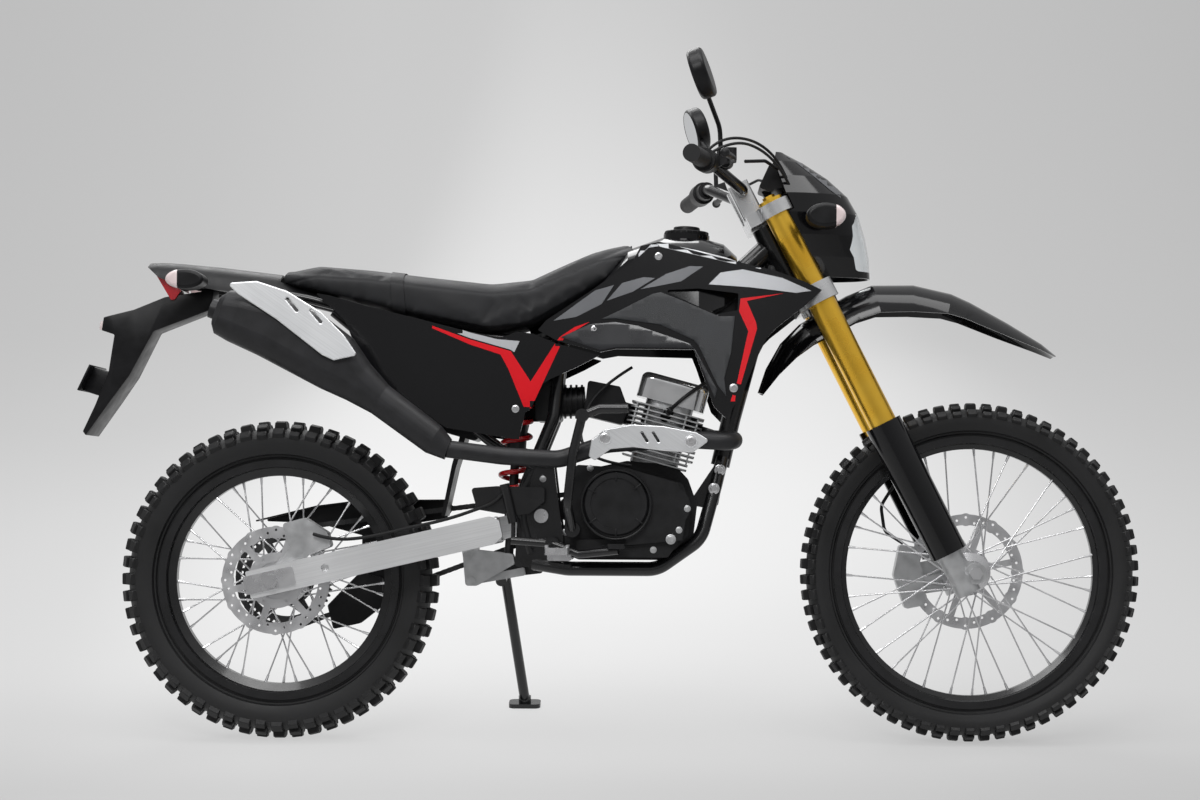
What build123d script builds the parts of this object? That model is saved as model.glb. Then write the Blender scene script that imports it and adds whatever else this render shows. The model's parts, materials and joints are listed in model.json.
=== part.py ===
from build123d import *
from math import asin, atan2, cos, degrees, hypot, pi, radians, sin, sqrt, tan
import os

# A 150 cc trail motorcycle, parked on its side stand. It is modelled upright, with X forward, Y to the
# rider's left, Z up and its origin on the ground under the rear axle, in millimetres. The last lines lean
# the whole machine on to its stand and put the origin under the middle of its bounding box.
os.makedirs("parts", exist_ok=True)

# ---- driving dimensions ----
wheelbase = 1375.0
rake = 27.2
axle_lead = 27.6          # front axle ahead of the fork legs
clamp_offset = 23.5       # fork legs ahead of the steering axis
lean = 10.0
running_gap = 0.3         # between a piece and the seat that carries it

front_radius = 338.0
front_width = 86.0
rear_radius = 316.0
rear_width = 112.0
front_rim_radius = 272.0
rear_rim_radius = 239.0
front_rim_depth = 26.0
rear_rim_depth = 32.0
front_rim_width = 50.0
rear_rim_width = 66.0
crown_share = 0.32        # drop from the crown to the shoulder, as a share of the tyre's section
spoke_radius = 1.6
spokes_per_side = 18

leg_spacing = 95.0        # fork leg from the middle plane
leg_lower_radius = 27.5
leg_upper_radius = 24.5
stanchion_radius = 21.0
lower_clamp_height = 630.0
upper_clamp_height = 815.0
lower_clamp_thick = 38.0
upper_clamp_thick = 26.0
leg_bottom_height = 308.0
leg_top_height = 836.0
stem_radius = 15.0
head_tube_radius = 29.0

arm_slope = 13.1          # swingarm beam against the ground
arm_height = 55.0
arm_y = 113.0             # middle of a beam
arm_thick = 26.0
pivot_x = 522.0
pivot_z = 446.0
axle_radius = 8.0

chain_y = 77.0
chain_pitch = 12.7
rear_teeth = 49
front_teeth = 15
drive_x = 575.0
drive_z = 460.0

bar_radius = 11.1
bar_half_width = 398.0
bar_height = 1117.0

shock_top, shock_low = (478.0, 742.0), (454.0, 358.0)

crank_half_width = 92.0
cylinder_tilt = 15.0

rake_sin, rake_cos = sin(radians(rake)), cos(radians(rake))
front_axle_x, front_axle_z = wheelbase, front_radius
# foot of the steering axis, level with the front axle measured along the axis
steer_x = front_axle_x - (axle_lead + clamp_offset) * rake_cos
steer_z = front_axle_z - (axle_lead + clamp_offset) * rake_sin

nodes = {}


# ---- helpers ----
def steer_plane(height, ahead=0.0, side=0.0):
    """A plane square to the steering axis: local x is ahead, local y is left, local z runs up the axis."""
    origin = (
        steer_x - height * rake_sin + ahead * rake_cos,
        side,
        steer_z + height * rake_cos + ahead * rake_sin,
    )
    return Plane(origin=origin, x_dir=(rake_cos, 0, rake_sin), z_dir=(-rake_sin, 0, rake_cos))


def outline(points, corner=0.0):
    """A closed face from points in its plane, with its corners rounded."""
    face = make_face(Polyline(*points, close=True))
    if corner:
        face = fillet(face.vertices(), corner)
    return face


def slab(face, y_low, y_high):
    """A face drawn in X and Z, made solid from y_low to y_high."""
    plane = Plane(origin=(0, y_high, 0), x_dir=(1, 0, 0), z_dir=(0, -1, 0))
    return extrude(plane * face, amount=y_high - y_low)


def plan(face, z_low, z_high):
    """A face drawn in X and Y, made solid from z_low to z_high."""
    return extrude(Plane(origin=(0, 0, z_low)) * face, amount=z_high - z_low)


def both_sides(shape):
    """A piece with its mirror image on the other side of the machine."""
    return Compound(children=[*solids_of(shape), *solids_of(mirror(shape, about=Plane.XZ))])


def solids_of(shape):
    return [Solid(s.wrapped) for s in shape.solids()]


def group(*shapes):
    """Separate solids of one node."""
    return Compound(children=[s for shape in shapes for s in solids_of(shape)])


def biggest(shape):
    """The largest solid of a piece that a cut has left in several."""
    return max(solids_of(shape), key=lambda solid: solid.volume)


def rod(start, end, radius):
    """A round bar between two points."""
    along = Vector(*end) - Vector(*start)
    plane = Plane(origin=start, z_dir=along)
    return extrude(plane * Circle(radius), amount=along.length)


def tube(points, radius, bend):
    """A round bar bent along points; bend is one radius, or one for each corner."""
    path = FilletPolyline(*points, radius=bend)
    section = Plane(origin=path @ 0, z_dir=path % 0) * Circle(radius)
    return sweep(section, path=path)


def axle_rod(x, z, radius, y_low, y_high):
    """A round bar across the machine."""
    return rod((x, y_low, z), (x, y_high, z), radius)


def ring(x, z, outer, inner, y_low, y_high):
    """A ring or washer across the machine."""
    return axle_rod(x, z, outer, y_low, y_high) - axle_rod(x, z, inner, y_low - 1, y_high + 1)


def turned(profile, x, z):
    """A profile of (radius, y) turned about a line across the machine at x, z."""
    return Pos(x, 0, z) * revolve(make_face(Polyline(*profile, close=True)), axis=Axis.Y)


def soften(solid, edges, radius):
    """Round the edges, with a smaller radius where the full one does not fit."""
    for share in (1.0, 0.6, 0.3):
        try:
            return fillet(edges, radius * share)
        except (ValueError, RuntimeError):
            continue
    return solid


def section_x(x, z, half_width, height, corner):
    """A rounded rectangle that faces along X, with its middle at x, z."""
    plane = Plane(origin=(x, 0, z), x_dir=(0, 1, 0), z_dir=(1, 0, 0))
    return plane * RectangleRounded(2 * half_width, height, corner)


def arch(x, z, half_width, drop, thick, pitch=0.0):
    """A thin arched section, as of a mudguard: its crown at x, z and its edges drop below that."""
    plane = Plane(origin=(x, 0, z), x_dir=(0, 1, 0), z_dir=(cos(radians(pitch)), 0, sin(radians(pitch))))
    inner_half = half_width - thick
    outer = ThreePointArc((-half_width, -drop), (0, 0), (half_width, -drop))
    inner = ThreePointArc((-inner_half, -drop), (0, -thick), (inner_half, -drop))
    edges = [outer, inner, Line((-half_width, -drop), (-inner_half, -drop)), Line((half_width, -drop), (inner_half, -drop))]
    return plane * make_face(edges)


# ---- wheels ----
def tyre(axle_x, axle_z, radius, width, rim_radius, rim_width):
    """A hollow tyre out to the tips of its knobs, open at the bead."""
    shoulder = radius - crown_share * (radius - rim_radius)
    bulge = radius - 0.62 * (radius - rim_radius)
    half = width / 2
    bead = rim_width / 2 - 4.5
    bead_radius = rim_radius - 8
    section = make_face([
        Line((bead_radius, -bead), (rim_radius + 1, -bead - 0.5)),
        ThreePointArc((rim_radius + 1, -bead - 0.5), (bulge, -half + 2.5), (shoulder, -half)),
        ThreePointArc((shoulder, -half), (radius, 0), (shoulder, half)),
        ThreePointArc((shoulder, half), (bulge, half - 2.5), (rim_radius + 1, bead + 0.5)),
        Line((rim_radius + 1, bead + 0.5), (bead_radius, bead)),
        Line((bead_radius, bead), (bead_radius, -bead)),
    ])
    wall = 11.0
    inner_bead = bead - wall
    hollow = make_face([
        Line((bead_radius - 2, -inner_bead), (rim_radius + 4, -inner_bead - 1)),
        ThreePointArc((rim_radius + 4, -inner_bead - 1), (bulge, -half + wall + 3), (shoulder - 4, -half + 1.6 * wall)),
        ThreePointArc((shoulder - 4, -half + 1.6 * wall), (radius - 1.9 * wall, 0), (shoulder - 4, half - 1.6 * wall)),
        ThreePointArc((shoulder - 4, half - 1.6 * wall), (bulge, half - wall - 3), (rim_radius + 4, inner_bead + 1)),
        Line((rim_radius + 4, inner_bead + 1), (bead_radius - 2, inner_bead)),
        Line((bead_radius - 2, inner_bead), (bead_radius - 2, -inner_bead)),
    ])
    return Pos(axle_x, 0, axle_z) * (revolve(section, axis=Axis.Y) - revolve(hollow, axis=Axis.Y))


def rim(axle_x, axle_z, radius, depth, width):
    """A channel rim: two flanges, bead seats, and a well that the nipples pull on."""
    half = width / 2
    wall = 3.0
    seat = radius - 11.5
    well = radius - depth
    profile = [
        (radius, half), (radius, half - wall), (seat, half - wall - 1), (seat, half * 0.45),
        (well + wall, half * 0.28), (well + wall, -half * 0.28), (seat, -half * 0.45),
        (seat, -(half - wall - 1)), (radius, -(half - wall)), (radius, -half),
        (seat - wall, -half), (seat - wall - 2, -half * 0.5), (well, -half * 0.32),
        (well, half * 0.32), (seat - wall - 2, half * 0.5), (seat - wall, half),
    ]
    return turned(profile, axle_x, axle_z)


def spokes(axle_x, axle_z, rim_inner, flange_radius, flange_left, flange_right):
    """Crossed spokes from two hub flanges, alternately from a flange's outer and inner face."""
    made = []
    step = 2 * pi / spokes_per_side
    for side, flange_y in ((1, flange_left), (-1, flange_right)):
        for i in range(spokes_per_side):
            outer_face = i % 2 == 0
            hub_angle = i * step + (0 if side > 0 else step / 2)
            lead = radians(62) if outer_face else -radians(62)
            rim_angle = hub_angle + lead * 0.62
            hub_y = flange_y + (2.0 if outer_face else -2.0) * side
            start = (flange_radius * cos(hub_angle), hub_y, flange_radius * sin(hub_angle))
            rim_y = (7.2 if outer_face else 2.8) * side
            end = (rim_inner * cos(rim_angle), rim_y, rim_inner * sin(rim_angle))
            made.append(Pos(axle_x, 0, axle_z) * rod(start, end, spoke_radius))
    return made


def wave_disc(axle_x, axle_z, radius, band, y_low, y_high, waves, bolt_circle):
    """A brake disc with a scalloped edge, drilled band, and arms in to its bolt circle."""
    edge = Circle(radius - 2)
    lobes = [Rot(0, 0, 360 / waves * i) * Pos(radius - 13, 0) * Circle(13) for i in range(waves)]
    face = edge - Circle(radius - band)
    for lobe in lobes:
        face += lobe
    face -= Circle(radius - band - 2)
    holes = [
        Rot(0, 0, 360 / (3 * waves) * i) * Pos(radius - band * (0.35 + 0.22 * (i % 3)), 0) * Circle(2.6)
        for i in range(3 * waves)
    ]
    for hole in holes:
        face -= hole
    carrier = Circle(bolt_circle + 9) - Circle(bolt_circle - 9)
    for i in range(6):
        carrier += Rot(0, 0, 60 * i + 12) * Pos((bolt_circle + radius - band) / 2 + 3, 0) * Rectangle(radius - band - bolt_circle + 6, 13)
    face += carrier
    for i in range(6):
        face -= Rot(0, 0, 60 * i) * Pos(bolt_circle, 0) * Circle(3.2)
    return Pos(axle_x, 0, axle_z) * slab(face, y_low, y_high)


def hub(axle_x, axle_z, barrel, flange, left, right, end_left, end_right):
    """A turned hub with two spoke flanges and a bore for its axle."""
    bore = axle_radius + 0.1
    profile = [
        (bore, end_right), (24, end_right), (24, right - 6), (flange, right - 2), (flange, right + 2),
        (barrel + 4, right + 7), (barrel, right + 16), (barrel, left - 16), (barrel + 4, left - 7),
        (flange, left - 2), (flange, left + 2), (24, left + 6), (24, end_left), (bore, end_left),
    ]
    return turned(profile, axle_x, axle_z)


front_flange, rear_flange = 34.0, 46.0
nodes["front_tyre"] = tyre(front_axle_x, front_axle_z, front_radius, front_width, front_rim_radius, front_rim_width)
nodes["front_rim"] = rim(front_axle_x, front_axle_z, front_rim_radius, front_rim_depth, front_rim_width)
nodes["front_hub"] = group(
    hub(front_axle_x, front_axle_z, 22, front_flange + 5, 30, -30, 56, -62),
    *spokes(front_axle_x, front_axle_z, front_rim_radius - front_rim_depth - 2 * running_gap, front_flange + 6.4, 30, -30),
)
nodes["front_disc"] = wave_disc(front_axle_x, front_axle_z, 118, 24, 57, 61, 12, 40) + ring(
    front_axle_x, front_axle_z, 49, 24.5, 50, 57
)
nodes["rear_tyre"] = tyre(0, rear_radius, rear_radius, rear_width, rear_rim_radius, rear_rim_width)
nodes["rear_rim"] = rim(0, rear_radius, rear_rim_radius, rear_rim_depth, rear_rim_width)
nodes["rear_hub"] = group(
    hub(0, rear_radius, 30, rear_flange + 5, 34, -34, 90, -90),
    *spokes(0, rear_radius, rear_rim_radius - rear_rim_depth - 2 * running_gap, rear_flange + 6.4, 34, -34),
)
nodes["rear_disc"] = wave_disc(0, rear_radius, 108, 24, -74, -70, 12, 46) + ring(0, rear_radius, 55, 24.5, -70, -58)


# ---- drive ----
def pitch_radius(teeth):
    return chain_pitch / 2 / sin(pi / teeth)


roller_radius = 4.2
rear_pitch, front_pitch = pitch_radius(rear_teeth), pitch_radius(front_teeth)
tip_radius = rear_pitch - roller_radius - running_gap


def rear_sprocket():
    """A toothed ring on five arms, bolted to the hub's left side."""
    tooth = Polygon((tip_radius - 7, -4.4), (tip_radius, -1.6), (tip_radius, 1.6), (tip_radius - 7, 4.4), align=None)
    face = Circle(tip_radius - 6) - Circle(tip_radius - 18)
    for i in range(rear_teeth):
        face += Rot(0, 0, 360 / rear_teeth * i) * tooth
    face += Circle(56) - Circle(24.5)
    for i in range(6):
        face += Rot(0, 0, 60 * i) * Pos(68, 0) * Rectangle(30, 18)
        face -= Rot(0, 0, 60 * i) * Pos(46, 0) * Circle(4.2)
    return Pos(0, 0, rear_radius) * slab(face, chain_y - 3, chain_y + 3)


def chain_line(offset):
    """The closed loop round both sprockets at a distance outside the pitch line, drawn in X and Z."""
    dx, dz = drive_x, drive_z - rear_radius
    span = hypot(dx, dz)
    tilt = atan2(dz, dx)
    open_angle = asin((rear_pitch - front_pitch) / span)
    rear_r, front_r = rear_pitch + offset, front_pitch + offset

    def at(cx, cz, r, angle):
        return (cx + r * cos(angle), cz + r * sin(angle))

    top = tilt + pi / 2 - open_angle
    low = tilt - pi / 2 + open_angle
    rear_top = at(0, rear_radius, rear_r, top)
    rear_low = at(0, rear_radius, rear_r, low)
    front_top = at(drive_x, drive_z, front_r, top)
    front_low = at(drive_x, drive_z, front_r, low)
    back = at(0, rear_radius, rear_r, tilt + pi)
    front = at(drive_x, drive_z, front_r, tilt)
    return make_face([
        ThreePointArc(rear_top, back, rear_low),
        Line(rear_low, front_low),
        ThreePointArc(front_low, front, front_top),
        Line(front_top, rear_top),
    ])


def chain():
    """One closed loop: two rows of side plates with the rollers between them."""
    plates = chain_line(5.6) - chain_line(-5.6)
    rollers = chain_line(roller_radius) - chain_line(-roller_radius)
    return (
        slab(plates, chain_y - 8, chain_y - 4.5)
        + slab(plates, chain_y + 4.5, chain_y + 8)
        + slab(rollers, chain_y - 4.5, chain_y + 4.5)
    )


nodes["rear_sprocket"] = rear_sprocket() + ring(0, rear_radius, 54, 24.5, 60, chain_y - 3)
nodes["chain"] = chain()

# ---- frame ----
crank_clear = crank_half_width + 4
cradle_y = 60.0
plate_in, plate_out = 50.5, 62.0   # the pivot plates, inboard of the chain


def on_axis(height, ahead):
    """X and Z of a point beside the steering axis."""
    p = steer_plane(height, ahead).origin
    return p.X, p.Z


def main_frame():
    """Head tube, backbone, single down tube, two lower rails and the plates that carry the swingarm."""
    low, high = lower_clamp_height + lower_clamp_thick / 2 + 2, upper_clamp_height - upper_clamp_thick / 2 - 2
    head = extrude(steer_plane(low) * Circle(head_tube_radius), amount=high - low)
    bx, bz = on_axis(high - 42, -20)
    backbone = tube([(bx, 0, bz), (880, 0, 900), (640, 0, 850), (500, 0, 800)], 22, 90)
    dx, dz = on_axis(low + 69, -20)
    down = tube([(dx, 0, dz), (936, 0, 785), (897, 0, 640), (876, 0, 548)], 19, [300, 300])
    gusset = slab(outline([(dx - 8, dz - 12), (bx - 6, bz + 6), (850, 880), (912, 720)], 4), -4, 4)
    rail_path = [
        (880, 12, 562), (866, 40, 505), (838, cradle_y, 402), (752, cradle_y, 341), (575, cradle_y, 341), (505, 52, 352),
    ]
    rail = tube(rail_path, 13, [30, 60, 60, 60])
    post = tube([(503, 52, 372), (484, 52, 440), (488, 52, 500), (545, 46, 640), (560, 24, 806)], 13, [90, 60, 60])
    plate = slab(
        outline([(470, 345), (560, 345), (566, 400), (556, 470), (545, 560), (505, 560), (480, 490), (474, 420)], 8),
        plate_in, plate_out,
    )
    plate -= axle_rod(pivot_x, pivot_z, 9, 40, 100)
    side = rail + post + plate
    cross_low = axle_rod(505, 352, 13, -56, 56)
    cross_top = axle_rod(556, 800, 13, -30, 30)
    shock_bolt = axle_rod(*shock_top, 6, -24, 24)
    lug_face = outline([(466, 730), (478, 758), (560, 812), (575, 790), (490, 728)], 3)
    eye_arm = slab(lug_face, -24, -16) + slab(lug_face, 16, 24)
    mount = slab(outline([(812, 470), (872, 560), (886, 545), (872, 470), (858, 462)], 3), 26, 32)
    side += mount
    frame = head + backbone + down + gusset + side + mirror(side, about=Plane.XZ) + cross_low + cross_top
    frame += eye_arm + shock_bolt
    return frame - extrude(steer_plane(low - 1) * Circle(stem_radius + 0.1), amount=high - low + 2)


nodes["main_frame"] = main_frame()


def subframe():
    """Rear rails under the seat, each with a brace down to the pivot plate."""
    upper = tube([(540, 62, 786), (300, 72, 812), (60, 62, 872), (-170, 46, 912)], 9.5, [200, 200])
    brace = tube([(506, 58, 545), (430, 76, 584), (110, 66, 846)], 9.5, [120])
    tail = axle_rod(-168, 911, 9.5, -50, 50)
    middle = axle_rod(300, 812, 9.5, -72, 72)
    side = upper + brace
    return side + mirror(side, about=Plane.XZ) + tail + middle


nodes["subframe"] = subframe() - nodes["main_frame"]


# ---- engine ----
def crankcase():
    """The cast case: gearbox behind, crank in front, with its sump below the rails."""
    case = slab(
        outline([
            (566, 372), (596, 360), (792, 360), (822, 400), (830, 470), (812, 520), (786, 548),
            (690, 556), (640, 545), (590, 548), (570, 500),
        ], 10), -52, 52
    )
    wide = slab(
        outline([(578, 392), (604, 380), (786, 380), (812, 410), (818, 468), (800, 512), (690, 540), (596, 532), (580, 480)], 14),
        -crank_half_width, crank_half_width,
    )
    shaft = axle_rod(drive_x, drive_z, 12, 52, chain_y + 7)
    sprocket = axle_rod(drive_x, drive_z, front_pitch - roller_radius - running_gap, chain_y - 3, chain_y + 3)
    return case + wide - slab(chain_line(11), chain_y - 11, chain_y + 30) + shaft + sprocket


def clutch_cover():
    """The right-hand cover: a round clutch dome that runs into the crank's lobe."""
    centre_x, centre_z = 671, 471
    body = Pos(centre_x, centre_z) * Circle(72)
    body += make_face(Polyline((690, 541), (790, 512), (812, 470), (800, 400), (690, 390), close=True))
    body += Pos(778, 466) * Circle(38)
    foot = outline([(592, 400), (800, 404), (772, 366), (596, 366)], 8)
    cover = slab(body, -crank_half_width - 34, -crank_half_width)
    cover = soften(cover, cover.faces().sort_by(Axis.Y)[0].edges(), 9)
    dome = slab(Pos(centre_x, centre_z) * Circle(66), -crank_half_width - 46, -crank_half_width - 34)
    dome = chamfer(dome.faces().sort_by(Axis.Y)[0].edges(), 6)
    dish = slab(Pos(centre_x, centre_z) * Circle(50), -crank_half_width - 47, -crank_half_width - 43)
    sump = slab(foot, -crank_half_width - 22, -crank_half_width)
    return cover + dome + sump - dish


def stator_cover():
    """The left-hand cover over the generator, with the sprocket cover behind it."""
    body = Pos(744, 452) * Circle(64) + Pos(744, 452) * Rectangle(70, 128)
    cover = slab(body, crank_half_width, crank_half_width + 30)
    cover = soften(cover, cover.faces().sort_by(Axis.Y)[-1].edges(), 8)
    cap = slab(Pos(744, 452) * Circle(26), crank_half_width + 30, crank_half_width + 34)
    return cover + cap


tilt_sin, tilt_cos = sin(radians(cylinder_tilt)), cos(radians(cylinder_tilt))
barrel_x, barrel_z = 742.0, 545.0


def barrel_plane(height, ahead=0.0):
    """A plane square to the cylinder's axis: local x is ahead, local y is left."""
    origin = (barrel_x + height * tilt_sin + ahead * tilt_cos, 0, barrel_z + height * tilt_cos - ahead * tilt_sin)
    return Plane(origin=origin, x_dir=(tilt_cos, 0, -tilt_sin), z_dir=(tilt_sin, 0, tilt_cos))


fin_count, fin_pitch, fin_thick = 12, 9.6, 2.6
head_height = 128.0


def cylinder():
    """The finned barrel and head."""
    body = extrude(barrel_plane(0) * RectangleRounded(96, 96, 30), amount=head_height)
    for i in range(fin_count):
        half = 74 if i > 1 else 66
        fin = barrel_plane(8 + i * fin_pitch) * RectangleRounded(2 * half, 150, 16)
        body += extrude(fin, amount=fin_thick)
    for x in (-62, -38, 38, 62):
        rib = extrude(barrel_plane(8 + fin_pitch, x) * Pos(0, -68) * Rectangle(3, 8), amount=fin_pitch * (fin_count - 2))
        body += rib + mirror(rib, about=Plane.XZ)
    port = extrude(
        Plane(origin=barrel_plane(88, 40).origin, z_dir=(tilt_cos, 0, -tilt_sin)) * Circle(26), amount=24
    )
    return body + port


def head_cover():
    """The polished rocker cover."""
    cover = extrude(barrel_plane(head_height) * RectangleRounded(138, 112, 26), amount=52)
    return soften(cover, cover.faces().sort_by(Axis.Z)[-1].edges(), 14)


nodes["engine_case"] = crankcase() + clutch_cover() + stator_cover()
nodes["head_cover"] = head_cover()


def intake():
    """Carburettor body with its flange to the head, and a ribbed boot back to the airbox."""
    flange = rod((706, 0, 646), (672, 0, 656), 22)
    body = slab(outline([(604, 646), (680, 628), (692, 660), (676, 704), (612, 716)], 6), -34, 34)
    boot = rod((606, 0, 676), (558, 0, 673), 29)
    for x in (564, 575, 586, 597):
        boot += rod((x, 0, 674.5), (x + 4, 0, 674.5), 34)
    return flange + body + boot


def airbox():
    """The air cleaner case behind the shock absorber."""
    case = slab(outline([(250, 690), (330, 610), (396, 592), (404, 640), (404, 752), (300, 784), (250, 770)], 10), -58, 58)
    duct = slab(outline([(390, 636), (560, 636), (560, 712), (390, 712)], 8), 44, 60)
    throat = slab(outline([(508, 634), (560, 634), (560, 714), (508, 714)], 8), -40, 60)
    flap = slab(outline([(324, 446), (331, 444), (352, 540), (372, 604), (362, 612), (344, 546)], 2), -52, 52)
    return case + duct + throat + flap



# ---- exhaust ----
port_x, port_z = barrel_plane(88, 64 + running_gap).origin.X, barrel_plane(88, 64 + running_gap).origin.Z
pipe_radius = 17.0
pipe_y = -150.0
pipe_points = [
    (port_x, 0, port_z), (850, -3, 606), (860, -70, 600), (905, -110, 597), (888, pipe_y, 592), (790, pipe_y, 597),
    (650, pipe_y, 586), (560, pipe_y + 8, 556), (450, pipe_y, 562), (344, -162, 575),
]
pipe_bend = [19, 30, 24, 24, 120, 120, 70, 120]
muffler_y = -162.0
muffler_rows = [
    # x, z, height, width, corner, slope
    (-101, 840, 60, 60, 22, -20), (-90, 837, 90, 84, 34, -22), (-60, 829, 106, 90, 38, -24), (5, 808, 122, 92, 40, -27),
    (80, 771, 126, 90, 40, -30), (130, 739, 116, 86, 38, -33), (172, 703, 84, 74, 34, -34), (214, 670, 64, 60, 29, -33),
    (318, 593, 60, 56, 27, -32), (346, 574, 42, 42, 20, -20),
]


def muffler_section(row, inset=0.0):
    x, z, height, width, corner, slope = row
    s, c = sin(radians(slope)), cos(radians(slope))
    plane = Plane(origin=(x, muffler_y, z), x_dir=(0, 1, 0), z_dir=(c, 0, s))
    return plane * RectangleRounded(width - 2 * inset, height - 2 * inset, corner - inset)


def muffler():
    """A hollow silencer body with a long front cone and an outlet in its cap."""
    body = loft([muffler_section(row) for row in muffler_rows], ruled=True)
    hollow = loft([muffler_section(row, 2.5) for row in muffler_rows[1:-1]], ruled=True)
    s, c = sin(radians(-20)), cos(radians(-20))
    cap = Plane(origin=(-101 - 14 * c, muffler_y, 840 - 14 * s), x_dir=(0, 1, 0), z_dir=(c, 0, s))
    outlet = extrude(cap * Circle(19), amount=40) - extrude(cap.offset(-1) * Circle(15), amount=42)
    return body - hollow - extrude(cap * Circle(18), amount=30) + outlet


def exhaust_pipe():
    return tube(pipe_points, pipe_radius, pipe_bend)


nodes["exhaust"] = exhaust_pipe() + muffler()
nodes["cylinder"] = cylinder() - nodes["engine_case"] - tube(pipe_points, pipe_radius + 2, pipe_bend)


nodes["air_intake"] = intake() + airbox() - nodes["main_frame"] - nodes["subframe"] - nodes["cylinder"]


def heat_shields():
    """Pressed covers that stand off the header pipe and the silencer."""
    face = outline([
        (618, 562), (623, 593), (649, 614), (700, 624), (763, 621), (827, 609), (852, 594), (819, 570),
        (763, 573), (704, 580), (661, 576), (630, 554),
    ], 5)
    for x in (726, 748):
        face -= Pos(x, 600) * Rot(0, 0, -58) * SlotOverall(24, 5)
    header = slab(face, pipe_y - pipe_radius - 8, pipe_y - pipe_radius - running_gap)
    header = soften(header, header.faces().sort_by(Axis.Y)[0].edges(), 2)
    guard = outline([
        (-76, 889), (-18, 893), (41, 874), (106, 834), (150, 790), (176, 752), (130, 742), (108, 752), (20, 820), (-54, 868),
    ], 5)
    for x, z in ((50, 848), (96, 826)):
        guard -= Pos(x, z) * Rot(0, 0, -50) * SlotOverall(34, 6)
    silencer = slab(guard, muffler_y - 53, muffler_y - 46.3)
    silencer = soften(silencer, silencer.faces().sort_by(Axis.Y)[0].edges(), 2)
    return group(header, silencer)


nodes["heat_shields"] = heat_shields()


# ---- swingarm and rear suspension ----
def arm_point(x, above=0.0):
    """A point on a beam's middle line at x, moved square to the beam."""
    s, c = sin(radians(arm_slope)), cos(radians(arm_slope))
    return x - above * s, rear_radius + 2 + x * tan(radians(arm_slope)) + above * c


def swingarm():
    """Two box beams, joined ahead of the wheel and hung on the pivot tube."""
    half = arm_height / 2
    back, front = -46, 428
    beam = outline([arm_point(back, -half), arm_point(front, -half), arm_point(front + 18, -16),
                    arm_point(front + 18, 16), arm_point(front, half), arm_point(back, half)], 4)
    slot = Pos(0, rear_radius) * Rot(0, 0, arm_slope) * SlotOverall(46, 2 * axle_radius + 0.4)
    beam -= slot
    side = slab(beam, arm_y - arm_thick / 2, arm_y + arm_thick / 2)
    side -= axle_rod(*arm_point(104), 8, arm_y, arm_y + 40)
    web = slab(outline([arm_point(352, -20), arm_point(402, -24), arm_point(402, 24), arm_point(352, 20)], 6), -arm_y, arm_y)
    bridge = slab(outline([arm_point(398, -24), arm_point(442, -24), arm_point(442, 24), arm_point(398, 24)], 4), 24, arm_y)
    horn = slab(outline([arm_point(420, -24), arm_point(512, -18), arm_point(512, 20), arm_point(420, 24)], 4), 24, 36)
    side += bridge + horn
    pivot = axle_rod(pivot_x, pivot_z, 23, -(plate_in - running_gap), plate_in - running_gap)
    knuckle_lug = slab(outline([(360, 388), (366, 352), (390, 352), (398, 394)], 4), -18, 18)
    knuckle_lug -= axle_rod(378, 364, 6.2, -30, 30)
    arms = side + mirror(side, about=Plane.XZ) + web + pivot + knuckle_lug
    return arms - axle_rod(pivot_x, pivot_z, 9.2, -70, 70)


nodes["swingarm"] = swingarm()


def pivot_bolt():
    shank = axle_rod(pivot_x, pivot_z, 8.9, -plate_out - 1, plate_out + 1)
    return shank + axle_rod(pivot_x, pivot_z, 14, plate_out, plate_out + 6) + axle_rod(pivot_x, pivot_z, 14, -plate_out - 6, -plate_out)


def rear_axle():
    """The wheel spindle with its nuts, collars and the chain adjuster blocks."""
    shaft = axle_rod(0, rear_radius, axle_radius, -140, 140)
    for side in (-1, 1):
        shaft += Pos(0, side * 136, rear_radius) * Rot(90, 0, 0) * extrude(RegularPolygon(14, 6), 7, both=True)
        low, high = sorted((side * 90.5, side * (arm_y - arm_thick / 2 - running_gap)))
        shaft += axle_rod(0, rear_radius, 15, low, high)
    blocks = []
    for side in (-1, 1):
        low, high = sorted((side * (arm_y + arm_thick / 2 + 0.3), side * (arm_y + arm_thick / 2 + 5)))
        s, c = sin(radians(arm_slope)), cos(radians(arm_slope))
        plate = outline([arm_point(x, h) for x, h in ((-52, -18), (44, -18), (44, 18), (-52, 18))], 3)
        shaft += slab(plate, low, high)
    return shaft


nodes["rear_axle"] = group(rear_axle(), pivot_bolt())



def shock_plane(along):
    """A plane square to the shock absorber, a distance down from its upper eye."""
    dx, dz = shock_low[0] - shock_top[0], shock_low[1] - shock_top[1]
    length = hypot(dx, dz)
    origin = (shock_top[0] + dx / length * along, 0, shock_top[1] + dz / length * along)
    return Plane(origin=origin, x_dir=(0, 1, 0), z_dir=(dx / length, 0, dz / length))


shock_length = hypot(shock_low[0] - shock_top[0], shock_low[1] - shock_top[1])
spring_radius, spring_wire = 27.0, 5.2


def shock_body():
    """Damper tube and rod between two eyes, with the spring's two seats."""
    body = extrude(shock_plane(14) * Circle(20), amount=150)
    body += extrude(shock_plane(18) * Circle(34), amount=10)
    body += extrude(shock_plane(150) * Circle(9), amount=shock_length - 160)
    body += extrude(shock_plane(262) * Circle(34), amount=8) + extrude(shock_plane(270) * Circle(14), amount=40)
    body += axle_rod(*shock_top, 15, -15.5, 15.5) + axle_rod(*shock_low, 14, -14, 14)
    body -= axle_rod(*shock_top, 6.2, -30, 30) + axle_rod(*shock_low, 6.2, -30, 30)
    return body


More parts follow.
